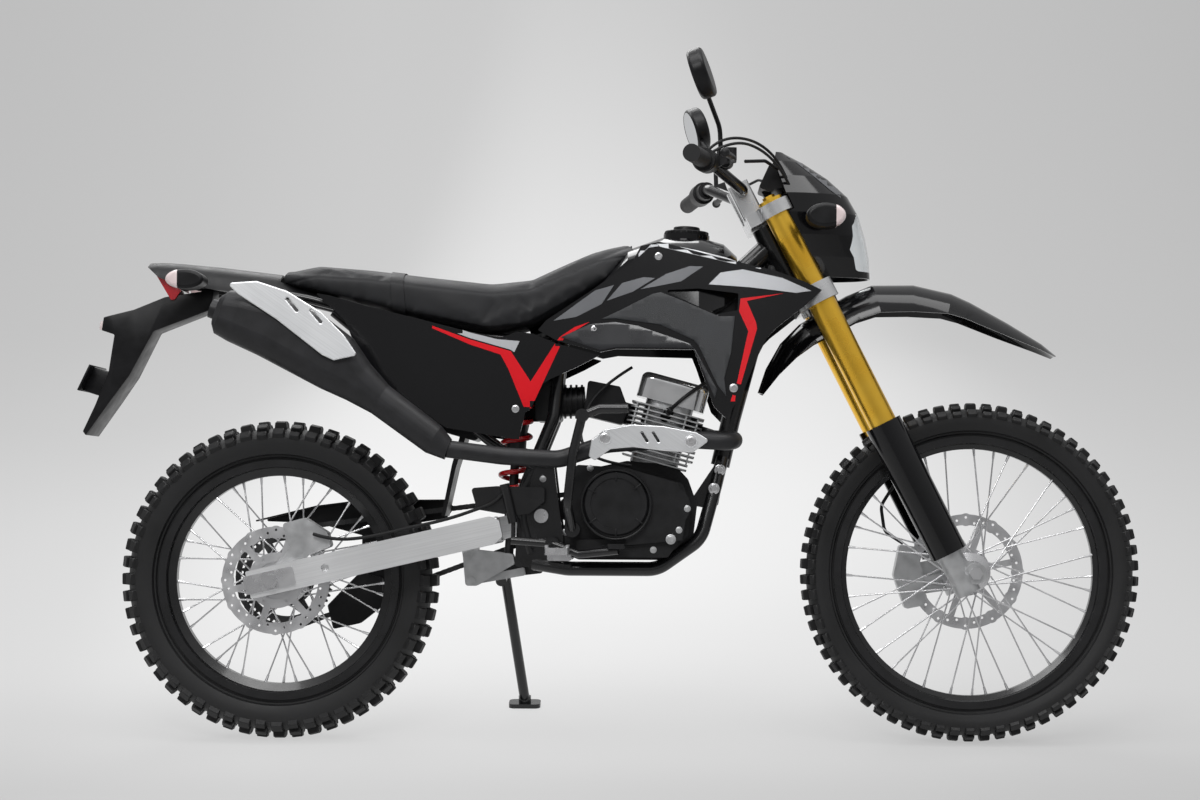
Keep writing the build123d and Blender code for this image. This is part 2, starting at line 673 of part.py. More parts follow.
def shock_spring():
    """The coil between the two seats."""
    low, high = 28 + spring_wire + 0.2, 262 - spring_wire - 0.2
    turns = 7.0
    helix = Helix(pitch=(high - low) / turns, height=high - low, radius=spring_radius)
    coil = sweep(Plane(origin=helix @ 0, z_dir=helix % 0) * Circle(spring_wire), path=helix, is_frenet=True)
    base = shock_plane(low)
    return base.location * coil


def suspension_link():
    """Rocker plates under the arm, with the pull rod forward to the frame."""
    plate = outline([(364, 372), (370, 306), (392, 306), (468, 350), (464, 370), (386, 378)], 6)
    plates = slab(plate, 19, 25) + slab(plate, -25, -19)
    pins = axle_rod(378, 364, 6, -28, 28) + axle_rod(*shock_low, 6, -28, 28) + axle_rod(381, 316, 9, -28, 28)
    pull = slab(outline([(374, 306), (376, 322), (486, 343), (488, 327)], 3), -8, 8)
    return plates + pins + pull


nodes["shock_body"] = shock_body()
nodes["shock_spring"] = shock_spring()
nodes["suspension_link"] = suspension_link() - nodes["main_frame"]


# ---- bodywork ----
def between(table, x):
    """The value at x of a table of (x, value), straight between its entries."""
    if x <= table[0][0]:
        return table[0][1]
    for (x0, v0), (x1, v1) in zip(table, table[1:]):
        if x <= x1:
            return v0 + (v1 - v0) * (x - x0) / (x1 - x0)
    return table[-1][1]


def crowned_section(x, low, high, half_low, half_high, crown):
    """A saddle-like section that faces along X: a flat foot, leaning sides and a crowned top."""
    plane = Plane(origin=(x, 0, 0), x_dir=(0, 1, 0), z_dir=(1, 0, 0))
    shoulder = high - crown
    edges = [
        Line((-half_low, low), (half_low, low)),
        Line((half_low, low), (half_high, shoulder)),
        ThreePointArc((half_high, shoulder), (0, high), (-half_high, shoulder)),
        Line((-half_high, shoulder), (-half_low, low)),
    ]
    return plane * make_face(edges)


seat_rows = [
    # x, underside, top, half width of the foot, half width of the shoulder, crown
    (2, 906, 931, 56, 52, 8),
    (60, 892, 930, 78, 74, 14),
    (180, 860, 918, 104, 100, 18),
    (300, 832, 904, 118, 112, 20),
    (420, 806, 891, 116, 108, 20),
    (500, 818, 900, 100, 92, 20),
    (580, 868, 936, 84, 76, 18),
    (650, 918, 968, 74, 66, 16),
    (706, 966, 990, 64, 58, 12),
]
tank_rows = [
    (520, 800, 838, 52, 46, 6),
    (600, 806, 882, 70, 60, 12),
    (690, 812, 978, 98, 84, 28),
    (760, 818, 1003, 122, 104, 34),
    (830, 836, 1004, 128, 106, 36),
    (880, 858, 990, 122, 100, 34),
    (906, 880, 966, 104, 84, 24),
]


def lofted(rows):
    return loft([crowned_section(*row) for row in rows], ruled=True)


def fuel_tank():
    """The tank, astride the frame's backbone."""
    tank = lofted(tank_rows)
    bx, bz = on_axis(upper_clamp_height - upper_clamp_thick / 2 - 44, -20)
    tunnel = tube([(bx, 0, bz), (880, 0, 900), (640, 0, 850), (480, 0, 794)], 27, 90)
    slot = slab(outline([(480, 780), (480, 794), (640, 850), (880, 900), (bx, bz), (bx, 780)]), -27, 27)
    neck = axle_rod(0, 0, 1, 0, 1)
    neck = Pos(806, 0, 996) * Rot(0, 2, 0) * extrude(Circle(46), amount=12)
    return tank + neck - tunnel - slot - nodes["main_frame"]


def seat():
    return lofted(seat_rows)


nodes["fuel_tank"] = fuel_tank()
nodes["fuel_cap"] = Pos(806, 0, 1008.3) * Rot(0, 2, 0) * (
    chamfer((extrude(Circle(43), amount=20) - Pos(0, 0, 16) * extrude(Circle(33), amount=6)).faces().sort_by(Axis.Z)[0].edges(), 0.5)
)
nodes["saddle"] = seat() - nodes["fuel_tank"] - nodes["main_frame"] - nodes["subframe"]

panel_thick = 4.0


def skin(curve, z_low, z_high, lean_in):
    """A sheet that follows a curve of (x, half width) and leans in toward its top; on the left side."""
    outer = [(x, y) for x, y in curve]
    inner = [(x, y - panel_thick) for x, y in reversed(curve)]
    face = make_face([
        Spline(*outer), Line(outer[-1], inner[0]), Spline(*inner), Line(inner[-1], outer[0])
    ])
    rise = z_high - z_low
    along = Vector(0, -lean_in, 1)
    return extrude(Plane(origin=(0, 0, z_low)) * face, amount=rise * along.length, dir=along.normalized())


shroud_outline = [
    (884, 636), (897, 658), (914, 684), (943, 755), (963, 795), (980, 813), (1043, 863), (1069, 888), (1038, 903),
    (980, 925), (869, 952), (753, 984), (716, 976), (700, 945), (615, 886), (530, 831), (514, 812), (553, 790),
    (638, 767), (669, 773), (820, 771), (829, 749), (860, 660),
]
shroud_curve = [(495, 92), (620, 122), (760, 148), (900, 166), (1000, 174), (1085, 172)]
cover_outline = [
    (76, 882), (105, 877), (175, 857), (268, 834), (371, 808), (440, 794), (478, 806), (506, 803), (552, 784), (637, 762),
    (600, 742), (542, 715), (526, 705), (502, 654), (492, 648), (480, 596), (469, 596), (339, 617), (178, 713), (170, 745),
    (137, 826),
]
cover_curve = [(60, 92), (160, 108), (300, 120), (440, 120), (560, 108), (650, 104)]


def shroud():
    """A tank side panel with its opening, on the left side."""
    side = slab(outline(shroud_outline, 1.5), 0, 260)
    window = slab(outline([(760, 888), (829, 891), (907, 881), (905, 848), (864, 840), (829, 856)], 3), 0, 260)
    panel = (skin(shroud_curve, 620, 1000, 0.10) & side) - window
    for x, z in ((800, 926), (872, 924)):
        panel += axle_rod(x, z, 7, 80, between(shroud_curve, x) - 0.1 * (z - 620) - 2)
    return biggest(panel - nodes["fuel_tank"])


def side_cover():
    """A panel under the saddle, on the left side."""
    panel = skin(cover_curve, 580, 900, 0.04) & slab(outline(cover_outline, 1.5), 0, 220)
    for x, z in ((290, 735), (360, 690)):
        panel += axle_rod(x, z, 7, 58 + running_gap, between(cover_curve, x) - 0.04 * (z - 580) - 2)
    return panel


left_shroud, left_cover = shroud(), side_cover()
nodes["tank_shrouds"] = both_sides(left_shroud)
nodes["side_covers"] = both_sides(left_cover)


def arch_loft(rows, thick):
    """A thin arched guard through rows of x, crown height, half width, drop and pitch."""
    return loft([arch(x, z, half, drop, thick, pitch) for x, z, half, drop, pitch in rows], ruled=True)


def rear_fender():
    """The tail above the rear wheel."""
    rows = [
        (120, 884, 66, 22, -8), (40, 905, 72, 34, -8), (0, 924, 76, 48, -6), (-120, 938, 72, 50, -4), (-200, 945, 62, 44, -3),
        (-236, 947, 55, 34, -3), (-260, 946, 48, 12, -3),
    ]
    return arch_loft(rows, 4)


nodes["rear_fender"] = rear_fender() - nodes["subframe"] - nodes["saddle"]
nodes["tail_light"] = slab(outline([(-256, 936), (-190, 936), (-196, 890), (-208, 872), (-216, 870), (-246, 920)], 3), -40, 40)
nodes["tail_light"] = biggest(nodes["tail_light"] - nodes["rear_fender"])


def signal(x, z, reach, root, stalk):
    """A flasher: stalk and pod, on the left side."""
    pod = Pos(x, reach, z) * Rot(90, 0, 0) * extrude(Ellipse(37, 19), 30, both=True)
    pod = soften(pod, pod.edges(), 7)
    return pod + rod((x + stalk, root, z), (x + stalk, reach - 20, z), 8)


rear_pod = signal(-168, 902, 128, 58, 8)
nodes["rear_signals"] = both_sides(biggest(rear_pod - nodes["rear_fender"] - nodes["tail_light"]))


plate_hole_y, plate_hole_radius = 55.0, 3.2


def plate_holes():
    """The two bolt holes for a number plate."""
    direction = Vector(0.478, 0, -0.878)
    holes = []
    for side in (-1, 1):
        middle = Vector(-358, side * plate_hole_y, 693)
        holes.append(rod(tuple(middle - direction * 20), tuple(middle + direction * 20), plate_hole_radius))
    return holes


def plate_bracket():
    """The arm that carries the number plate and the flap below it."""
    strip = [
        (-150, 884), (-226, 868), (-318, 826), (-326, 790), (-303, 745), (-312, 700), (-338, 650), (-372, 592), (-365, 590),
        (-328, 650), (-303, 700), (-294, 745), (-314, 786), (-306, 816), (-222, 856), (-150, 872),
    ]
    arm = slab(outline(strip, 1.5), -62, 62)
    trim = plan(outline([(-150, -30), (-230, -34), (-330, -62), (-380, -62), (-380, 62), (-330, 62), (-230, 34), (-150, 30)]), 560, 900)
    lamp = slab(outline([(-312, 826), (-332, 826), (-345, 812), (-343, 798), (-322, 795)], 3), -32, 32)
    plate = slab(outline([(-300, 702), (-327, 716), (-389, 680), (-386, 674), (-328, 706), (-306, 694)], 1), -70, 70)
    plate -= plate_holes()
    return (arm & trim) + lamp + plate


nodes["plate_bracket"] = plate_bracket() - nodes["rear_fender"] - nodes["tail_light"] - nodes["rear_signals"]


# ---- chain guards, controls on the frame ----
def chain_guard():
    """Upper guard on the left beam, and the lower chain guide."""
    side = outline([(-62, 432), (60, 462), (150, 474), (322, 476), (338, 462), (322, 440), (230, 424), (150, 404), (60, 428)], 3)
    guard = slab(side, 91, 94)
    top = outline([(-62, 434), (60, 464), (150, 476), (322, 478), (322, 475), (150, 473), (60, 461), (-62, 431)])
    guard += slab(top, 64, 94)
    lug = slab(outline([(150, 356), (190, 366), (214, 430), (150, 430)], 3), 91, arm_y - arm_thick / 2 - running_gap)
    return guard + lug


def chain_guide():
    """A guide under the left beam for the chain's lower run."""
    cheek = outline([(96, 214), (150, 226), (196, 262), (196, 318), (150, 330), (120, 300), (84, 262)], 5)
    guide = slab(cheek, 88, 92) + slab(cheek, 62, 66) + axle_rod(106, 234, 5, 62, 92) + axle_rod(186, 312, 5, 62, 92)
    strap = slab(outline([(140, 320), (196, 300), (206, 344), (150, 340)], 3), 88, arm_y - arm_thick / 2 - running_gap)
    return guide + strap


nodes["chain_guards"] = group(chain_guard(), chain_guide() - nodes["chain"])


def foot_peg():
    """A toothed peg on its bracket, on the left side."""
    bracket = slab(outline([(536, 358), (582, 358), (584, 384), (560, 394), (536, 388)], 4), plate_out + running_gap, 104)
    tray = Pos(558, 152, 378) * (extrude(RectangleRounded(46, 96, 10), 7, both=True) - extrude(RectangleRounded(30, 80, 6), 9, both=True))
    tray += Pos(558, 152, 378) * extrude(Rectangle(5, 84), 7, both=True)
    for i in range(7):
        for x in (-20, 20):
            tray += Pos(558 + x, 114 + i * 12.6, 385) * extrude(Rectangle(5, 7), 5)
    return bracket + tray


nodes["foot_pegs"] = both_sides(foot_peg())


def brake_pedal():
    """The rear brake lever on the right, with the rod up to its pump."""
    arm = tube([(466, -118, 398), (546, -118, 392), (600, -132, 372), (676, -150, 380)], 8, [20, 20])
    pad = Pos(672, -156, 388) * extrude(RectangleRounded(34, 40, 5), 5, both=True)
    pivot = axle_rod(546, 392, 13, -126, -104.3)
    pump = rod((470, -113, 432), (452, -113, 508), 9.5) + rod((470, -118, 398), (470, -114, 436), 4)
    guard = slab(outline([(398, 458), (386, 500), (436, 504), (530, 502), (530, 474), (500, 450), (470, 446)], 6), -104, -101)
    guard += slab(outline([(512, 480), (512, 498), (528, 498), (528, 480)], 2), -101, -plate_out - running_gap)
    return arm + pad + pivot + pump + guard


def gear_lever():
    """The shift lever on the left."""
    arm = tube([(612, 134, 398), (640, 134, 392), (716, 146, 376)], 7, [20])
    toe = axle_rod(716, 376, 10, 140, 178)
    boss = axle_rod(610, 400, 13, crank_half_width + running_gap, 142)
    return arm + toe + boss


def kick_starter():
    """The starter crank, folded up beside the engine."""
    boss = axle_rod(586, 420, 15, -140, -crank_half_width - running_gap)
    arm = tube([(586, -132, 420), (578, -182, 470), (588, -186, 566), (606, -186, 640)], 9, [24, 60])
    toe = tube([(606, -186, 640), (640, -186, 654), (694, -190, 654)], 9, [20])
    knuckle = axle_rod(606, 640, 13, -198, -174)
    return boss + arm + toe + knuckle


nodes["foot_controls"] = group(brake_pedal() - nodes["foot_pegs"], gear_lever(), kick_starter())


def rear_caliper():
    """A sliding caliper over the rear disc, on a bracket from the spindle."""
    face = outline([(30, 384), (16, 428), (60, 440), (104, 412), (112, 384), (70, 366)], 6)
    body = slab(face, -98, -56)
    body -= slab(Pos(0, rear_radius) * Circle(112), -78, -66)
    bracket = slab(outline([(-20, 300), (20, 300), (72, 372), (40, 392), (-8, 336)], 5), -98, -92.8)
    return body + bracket - axle_rod(0, rear_radius, 15.3, -120, 0)


nodes["rear_caliper"] = rear_caliper()

# ---- side stand ----
stand_pivot = (436.0, 134.0, 338.0)
stand_foot = (474.0, 262.0, 0.0)
stand_pin = Vector(0, 0.956, 0.294).normalized()


def sink(radius, rim_radius, width):
    """How far a leaning tyre's crown reaches below its upright contact."""
    drop = crown_share * (radius - rim_radius)
    crown = (drop * drop + width * width / 4) / (2 * drop)
    return crown * (1 - cos(radians(lean)))


rear_sink = sink(rear_radius, rear_rim_radius, rear_width)
front_sink = sink(front_radius, front_rim_radius, front_width)
crown_sink = rear_sink + (front_sink - rear_sink) * stand_foot[0] / wheelbase


def stand_points():
    """Where the foot meets the leaning ground."""
    foot_z = (stand_foot[1] * sin(radians(lean)) - crown_sink) / cos(radians(lean))
    return stand_pivot, (stand_foot[0], stand_foot[1], foot_z)


def side_stand():
    """The prop leg with its foot."""
    (px, py, pz), (fx, fy, fz) = stand_points()
    boss = rod(tuple(stand_pin * -6 + Vector(px, py, pz)), tuple(stand_pin * 6 + Vector(px, py, pz)), 17)
    leg = boss + tube([(px, py + 7, pz), (px + 16, py + 40, pz - 110), (fx, fy - 5, fz + 15)], 10.5, [300])
    ground = Plane(origin=(fx, fy, fz), x_dir=(1, 0, 0), z_dir=(0, -sin(radians(lean)), cos(radians(lean))))
    leg -= ground * extrude(Rectangle(200, 200), -40)
    leg += ground * extrude(Circle(13), 22)
    foot = ground * extrude(RectangleRounded(66, 46, 12), 9)
    return leg + foot



nodes["side_stand"] = side_stand()


def stand_bracket():
    """The frame's lug for the stand's pivot, with its bolt."""
    px, py, pz = stand_pivot
    plate = slab(outline([(px - 22, pz + 16), (px - 16, pz - 14), (px + 16, pz - 16), (520, 330), (520, 364)], 6), 54, 62)
    near, far = stand_pin * -84 + Vector(px, py, pz), stand_pin * -(6 + running_gap) + Vector(px, py, pz)
    return plate + rod(tuple(near), tuple(far), 11)


nodes["main_frame"] += stand_bracket()
nodes["main_frame"] -= nodes["engine_case"]

# ---- steering ----
leg_ahead = clamp_offset


def leg_part(radius, low, high, inner=0.0):
    """A round length of both fork legs."""
    made = []
    for side in (-1, 1):
        piece = extrude(steer_plane(low, leg_ahead, side * leg_spacing) * Circle(radius), amount=high - low)
        if inner:
            piece -= extrude(steer_plane(low - 1, leg_ahead, side * leg_spacing) * Circle(inner), amount=high - low + 2)
        made.append(piece)
    return made


def fork_tubes():
    """The upper outer tubes, thicker below the lower clamp."""
    made = []
    step = lower_clamp_height - lower_clamp_thick / 2 - running_gap
    for side in (-1, 1):
        tube_low = extrude(steer_plane(leg_bottom_height, leg_ahead, side * leg_spacing) * Circle(leg_lower_radius),
                           amount=step - leg_bottom_height)
        tube_high = extrude(steer_plane(step, leg_ahead, side * leg_spacing) * Circle(leg_upper_radius),
                            amount=leg_top_height - step)
        collar = extrude(steer_plane(leg_bottom_height, leg_ahead, side * leg_spacing) * Circle(leg_lower_radius + 2), amount=14)
        cap = extrude(steer_plane(leg_top_height, leg_ahead, side * leg_spacing) * RegularPolygon(13, 6), amount=7)
        bore = extrude(steer_plane(leg_bottom_height - 1, leg_ahead, side * leg_spacing) * Circle(stanchion_radius + running_gap),
                       amount=60)
        made.append(tube_low + tube_high + collar + cap - bore)
    return made


def fork_lugs():
    """The castings that hold the spindle ahead of the legs."""
    made = []
    for side in (-1, 1):
        barrel = extrude(steer_plane(-30, leg_ahead, side * leg_spacing) * Circle(25), amount=100)
        collar = Circle(32.7) - Pos(0, -side * 60) * Rectangle(120, 100)
        barrel = barrel + extrude(steer_plane(56, leg_ahead, side * leg_spacing) * collar, amount=14)
        boss = axle_rod(front_axle_x, front_axle_z, 21, side * leg_spacing - 22, side * leg_spacing + 22)
        plane_face = outline([(1330, 312), (1378, 318), (1384, 352), (1340, 372), (1318, 346)], 5)
        neck = slab(plane_face, side * leg_spacing - 18, side * leg_spacing + 18)
        bore = extrude(steer_plane(20, leg_ahead, side * leg_spacing) * Circle(stanchion_radius + running_gap), amount=120)
        hole = axle_rod(front_axle_x, front_axle_z, axle_radius + 0.1, side * leg_spacing - 40, side * leg_spacing + 40)
        made.append(barrel + boss + neck - bore - hole)
    return made


def fork_guards():
    """Plastic shields over the polished legs."""
    made = []
    for side in (-1, 1):
        wrap = Circle(36.5) - Circle(33) - Pos(0, -side * 60) * Rectangle(120, 100)
        made.append(extrude(steer_plane(58, leg_ahead, side * leg_spacing) * wrap, amount=286))
    return made


nodes["fork_tubes"] = Compound(children=fork_tubes())
nodes["fork_sliders"] = Compound(children=leg_part(stanchion_radius, 20.5, 360))
nodes["fork_lugs"] = Compound(children=fork_lugs())
nodes["fork_guards"] = Compound(children=fork_guards())


def clamp_plate(low, thick, ear, front, back, grip):
    """A fork clamp: two split ears joined by a bridge, square to the steering axis."""
    face = Rectangle(front - back, 2 * leg_spacing)
    face = Pos((front + back) / 2, 0) * face
    for side in (-1, 1):
        face += Pos(leg_ahead, side * leg_spacing) * Circle(ear)
    for side in (-1, 1):
        face -= Pos(leg_ahead, side * leg_spacing) * Circle(grip + running_gap)
    return extrude(steer_plane(low) * face, amount=thick)


bar_up, bar_back = 877.3, -15.7
riser_y = 45.0


def triple_clamps():
    """Both fork clamps with the stem between them, and the handlebar's risers."""
    lower = clamp_plate(lower_clamp_height - lower_clamp_thick / 2, lower_clamp_thick, 37, 44, -22, leg_upper_radius)
    upper = clamp_plate(upper_clamp_height - upper_clamp_thick / 2, upper_clamp_thick, 34, 44, -34, leg_upper_radius)
    stem = extrude(steer_plane(lower_clamp_height - 30) * Circle(stem_radius), amount=upper_clamp_height - lower_clamp_height + 52)
    nut = extrude(steer_plane(upper_clamp_height + upper_clamp_thick / 2) * RegularPolygon(16, 6), amount=10)
    clamps = lower + upper + stem + nut
    top = upper_clamp_height + upper_clamp_thick / 2
    for side in (-1, 1):
        riser = extrude(steer_plane(top - 4, bar_back, side * riser_y) * RectangleRounded(42, 28, 6), amount=bar_up + 19 - top + 4)
        clamps += riser
    return clamps - axle_rod(915, 1088, bar_radius + 0.05, -90, 90)


def bar_path():
    return [
        (812, -bar_half_width, bar_height), (853, -190, bar_height + 8), (915, -96, 1088), (915, 96, 1088),
        (853, 190, bar_height + 8), (812, bar_half_width, bar_height),
    ]


bar_bend = [46, 40, 40, 46]
nodes["triple_clamps"] = triple_clamps()
nodes["handlebar"] = tube(bar_path(), bar_radius, bar_bend)


def bar_point(side, y):
    """A point on the straight outer length of the bar at a distance y from the middle."""
    share = (bar_half_width - y) / (bar_half_width - 190)
    return (812 + 41 * share, side * y, bar_height + 8 * share)


bar_clear = tube(bar_path(), bar_radius + running_gap, bar_bend)


def grips():
    made = []
    for side in (-1, 1):
        grip = rod(bar_point(side, bar_half_width + 4), bar_point(side, 276), 16.5)
        grip += rod(bar_point(side, 284), bar_point(side, 276), 22)
        made.append(grip - bar_clear)
    return made


def hand_controls():
    """Switch cases, lever perches, levers and the front brake pump."""
    made = []
    for side in (-1, 1):
        case = rod(bar_point(side, 274), bar_point(side, 238), 23)
        perch = rod(bar_point(side, 232), bar_point(side, 206), 18)
        x, y, z = bar_point(side, 219)
        perch += Pos(x + 24, y, z + 4) * Rot(0, -20, 0) * extrude(RectangleRounded(40, 24, 4), 9, both=True)
        lever = tube([
            (x + 38, y - side * 6, z + 4), (x + 44, side * 262, z + 4), (x + 26, side * 386, z - 4),
        ], 6, 60)
        ball = Pos(x + 26, side * 390, z - 4) * Sphere(9)
        piece = perch + lever + ball
        if side < 0:
            piece += rod((x + 30, y + 4, z + 4), (x + 36, y + 66, z + 8), 12)
            piece += Pos(x + 34, y + 40, z + 20) * extrude(RectangleRounded(38, 50, 6), 12, both=True)
        made += [case - bar_clear, biggest(piece - bar_clear)]
    return made


def mirrors():
    """A stem and a shallow pod on each lever perch."""
    made = []
    for side in (-1, 1):
        x, y, z = bar_point(side, 219)
        stem = tube([(x + 22, y, z + 13.3), (x + 20, y, z + 66), (x - 12, side * 316, z + 130)], 4.5, 26)
        pod_place = Pos(830, side * 348, 1272) * Rot(0, 0, side * 8) * Rot(0, -18, 0)
        pod = extrude(Plane.YZ * Ellipse(66, 47), 15, both=True)
        pod = soften(pod, pod.edges(), 8)
        pod = pod - Pos(-15, 0, 0) * extrude(Plane.YZ * Ellipse(61, 42), 3, both=True)
        made.append(biggest(stem + pod_place * pod - Compound(children=hand_controls())))
    return made


def mirror_glass():
    made = []
    for side in (-1, 1):
        place = Pos(830, side * 348, 1272) * Rot(0, 0, side * 8) * Rot(0, -18, 0)
        made.append(place * Pos(-13, 0, 0) * extrude(Plane.YZ * Ellipse(60.7, 41.7), 0.9, both=True))
    return made


nodes["grips"] = Compound(children=grips())
nodes["hand_controls"] = Compound(children=hand_controls())
nodes["mirrors"] = Compound(children=mirrors())
nodes["mirror_glass"] = Compound(children=mirror_glass())

cowl_rows = [
    # height, rear x, front x, half width
    (921, 1062, 1173, 62), (960, 1036, 1171, 86), (1002, 1014, 1163, 102), (1045, 1006, 1150, 108), (1083, 1000, 1128, 104),
    (1119, 988, 1088, 86), (1150, 978, 1040, 64), (1171, 982, 1000, 40),
]


def cowl_body(inset):
    """The headlamp nacelle as a solid, or its hollow when inset."""
    sections = []
    for i, (z, rear, front, half) in enumerate(cowl_rows):
        end = -8 if i == 0 else 4 if i == len(cowl_rows) - 1 else 0
        level = z + (end if inset else 0)
        back, nose, w = rear - (6 if inset else 0), front - inset, half - inset
        depth = nose - back
        side = Spline((back, -w), (back + 0.5 * depth, -0.88 * w), (nose - 0.08 * depth, -0.46 * w), (nose, 0),
                      (nose - 0.08 * depth, 0.46 * w), (back + 0.5 * depth, 0.88 * w), (back, w))
        sections.append(Plane(origin=(0, 0, level)) * make_face([side, Line((back, w), (back, -w))]))
    return loft(sections, ruled=True)


def lens_prism(grow):
    """The lamp's outline seen from the front, as a prism along X."""
    face = outline([(-50, 934), (-68, 975), (-64, 1022), (-40, 1050), (40, 1050), (64, 1022), (68, 975), (50, 934)], 8)
    plane = Plane(origin=(1070, 0, 0), x_dir=(0, 1, 0), z_dir=(1, 0, 0))
    if grow:
        face = offset(face, grow)
    return extrude(plane * face, amount=150)


shell = cowl_body(0) - cowl_body(3.5)
nodes["headlight_lens"] = shell & lens_prism(0)
cowl = shell - lens_prism(running_gap)
for leg in leg_part(leg_upper_radius + running_gap, 600, 850):
    cowl -= leg
clamp_room = clamp_plate(upper_clamp_height - upper_clamp_thick / 2 - 3, upper_clamp_thick + 6, 37, 47, -34, 0)
nodes["headlight_cowl"] = biggest(cowl - clamp_room)


def reflector():
    """The lamp's bowl behind its lens, with the bulb holder."""
    plane = Plane(origin=(1072, 0, 992), x_dir=(0, 1, 0), z_dir=(1, 0, 0))
    bowl = loft([plane * Circle(20), plane.offset(26) * Circle(40), plane.offset(56) * Circle(52)], ruled=True)
    hollow = loft([plane.offset(3) * Circle(17), plane.offset(28) * Circle(37), plane.offset(57) * Circle(49.5)], ruled=True)
    stay = slab(outline([(1028, 994), (1074, 984), (1074, 1002), (1028, 1006)], 2), -14, 14)
    bar = axle_rod(1030, 1000, 5, -92, 92)
    return bowl - hollow + stay + bar


bowl = reflector() - nodes["headlight_lens"]
for leg in leg_part(leg_upper_radius + running_gap, 600, 850):
    bowl -= leg
nodes["headlight_bowl"] = bowl & cowl_body(3.9)


def front_signal():
    pod = Pos(1074, 156, 1030) * Rot(90, 0, 0) * extrude(Ellipse(38, 24), 28, both=True)
    pod = soften(pod, pod.edges(), 8)
    return pod + rod((1052, 88, 1026), (1058, 140, 1028), 9)


nodes["front_signals"] = both_sides(front_signal() - cowl_body(0))


def instrument_panel():
    """The meter's case on its stay."""
    case = slab(outline([(948, 1098), (972, 1090), (1002, 1102), (990, 1146), (968, 1142)], 5), -56, 56)
    top = upper_clamp_height + upper_clamp_thick / 2
    stay = extrude(steer_plane(top + running_gap, 32) * RectangleRounded(16, 30, 3), amount=44)
    return case + stay


nodes["instrument_panel"] = instrument_panel() - nodes["triple_clamps"]

fender_rows = [
    # x, crown height, half width, drop, pitch
    (950, 694, 36, 12, 72), (966, 742, 50, 30, 70), (994, 792, 58, 44, 58), (1032, 831, 62, 50, 42), (1080, 862, 65, 54, 32),
    (1124, 888, 65, 56, 28), (1176, 910, 68, 60, 14), (1259, 911, 72, 58, -4), (1335, 894, 70, 46, -16), (1373, 877, 68, 40, -24),
    (1448, 836, 60, 30, -28), (1516, 795, 46, 16, -32), (1544, 772, 34, 6, -38),
]


def front_fender():
    guard = arch_loft(fender_rows, 3.5)
    under = lower_clamp_height - lower_clamp_thick / 2 - running_gap
    for ahead in (6, 34):
        for side in (-26, 26):
            guard += extrude(steer_plane(under - 26, ahead, side) * Circle(8), amount=26)
    return guard


nodes["front_fender"] = front_fender()
for leg in leg_part(leg_lower_radius + 1.5, 560, 611):
    nodes["front_fender"] -= leg
nodes["front_fender"] -= extrude(steer_plane(lower_clamp_height - 31) * Circle(18), amount=20)


def front_caliper():
    """The caliper behind the left leg, on its bracket."""
    face = outline([(1252, 262), (1292, 270), (1290, 326), (1272, 388), (1240, 392), (1228, 330)], 7)
    body = slab(face, 42, 80) - slab(Pos(front_axle_x, front_axle_z) * Circle(123), 53, 65)
    bracket = slab(outline([(1262, 288), (1342, 300), (1346, 340), (1330, 366), (1262, 352)], 6), 67, 72)
    return body + bracket


nodes["front_caliper"] = front_caliper() - nodes["fork_lugs"] - nodes["fork_guards"]


def front_axle():
    """The wheel spindle with its collars and end nut."""
    shaft = axle_rod(front_axle_x, front_axle_z, axle_radius, -leg_spacing - 26, leg_spacing + 26)
    shaft += axle_rod(front_axle_x, front_axle_z, 15, 61.5, leg_spacing - 22 - running_gap)
    shaft += axle_rod(front_axle_x, front_axle_z, 15, -(leg_spacing - 22 - running_gap), -62.5)
    for side in (-1, 1):
        nut = Pos(front_axle_x, side * (leg_spacing + 26), front_axle_z) * Rot(90, 0, 0) * extrude(RegularPolygon(13, 6), 3.5, both=True)
        shaft += nut
    return shaft


nodes["front_axle"] = front_axle()

hose_radius, cable_radius = 3.4, 2.8


def on_leg(height, ahead, side):
    """A point beside the left leg, as a tuple."""
    return tuple(steer_plane(height, ahead, side).origin)


hose_points = [
    (918, -152, 1136), (958, -118, 1142), (990, -66, 1130), (1050, -62, 1080), (1056, -44, 960), (1094, 24, 911),
    (1104, 82, 903), on_leg(560, 66, 94), on_leg(380, 56, 64), on_leg(235, 24, 61), (1204, 70, 470), (1212, 75, 418),
    (1250, 75, 394),
]
hose_bend = [18, 18, 20, 30, 20, 18, 20, 60, 60, 30, 24, 18]
cable_points = [(905, 232, 1124), (955, 150, 1140), (988, 72, 1120), (1020, 66, 1064)]
nodes["front_cables"] = group(
    tube(hose_points, hose_radius, hose_bend[:len(hose_points) - 2]), tube(cable_points, cable_radius, [30, 20])
)
hose_room = tube(hose_points, hose_radius + 1, hose_bend[:len(hose_points) - 2])
nodes["headlight_cowl"] = biggest(nodes["headlight_cowl"] - hose_room)

print("bend radii: hose 18 to 60, cables 20 to 30")
for name, shape in nodes.items():
    if not shape.is_valid:
        print("NOT VALID", name)

# ---- lean on to the stand, and put the origin under the middle of the bounding box ----
leaned = {name: Rot(-lean, 0, 0) * shape for name, shape in nodes.items()}
boxes = [shape.bounding_box() for shape in leaned.values()]
low_corner = [min(tuple(box.min)[i] for box in boxes) for i in range(3)]
high_corner = [max(tuple(box.max)[i] for box in boxes) for i in range(3)]
move = (-(low_corner[0] + high_corner[0]) / 2, -(low_corner[1] + high_corner[1]) / 2, -low_corner[2])
print("lean", lean, "move", tuple(round(value, 4) for value in move))
print("size", [round(high - low, 1) for low, high in zip(low_corner, high_corner)])
for name, shape in leaned.items():
    placed = Pos(*move) * shape
    solids = solids_of(placed)
    box = placed.bounding_box()
    print(name, len(solids), round(sum(solid.volume for solid in solids)), [round(v, 1) for v in (*box.min, *box.max)])
    export_step(solids[0] if len(solids) == 1 else Compound(children=solids), f"parts/{name}.step")
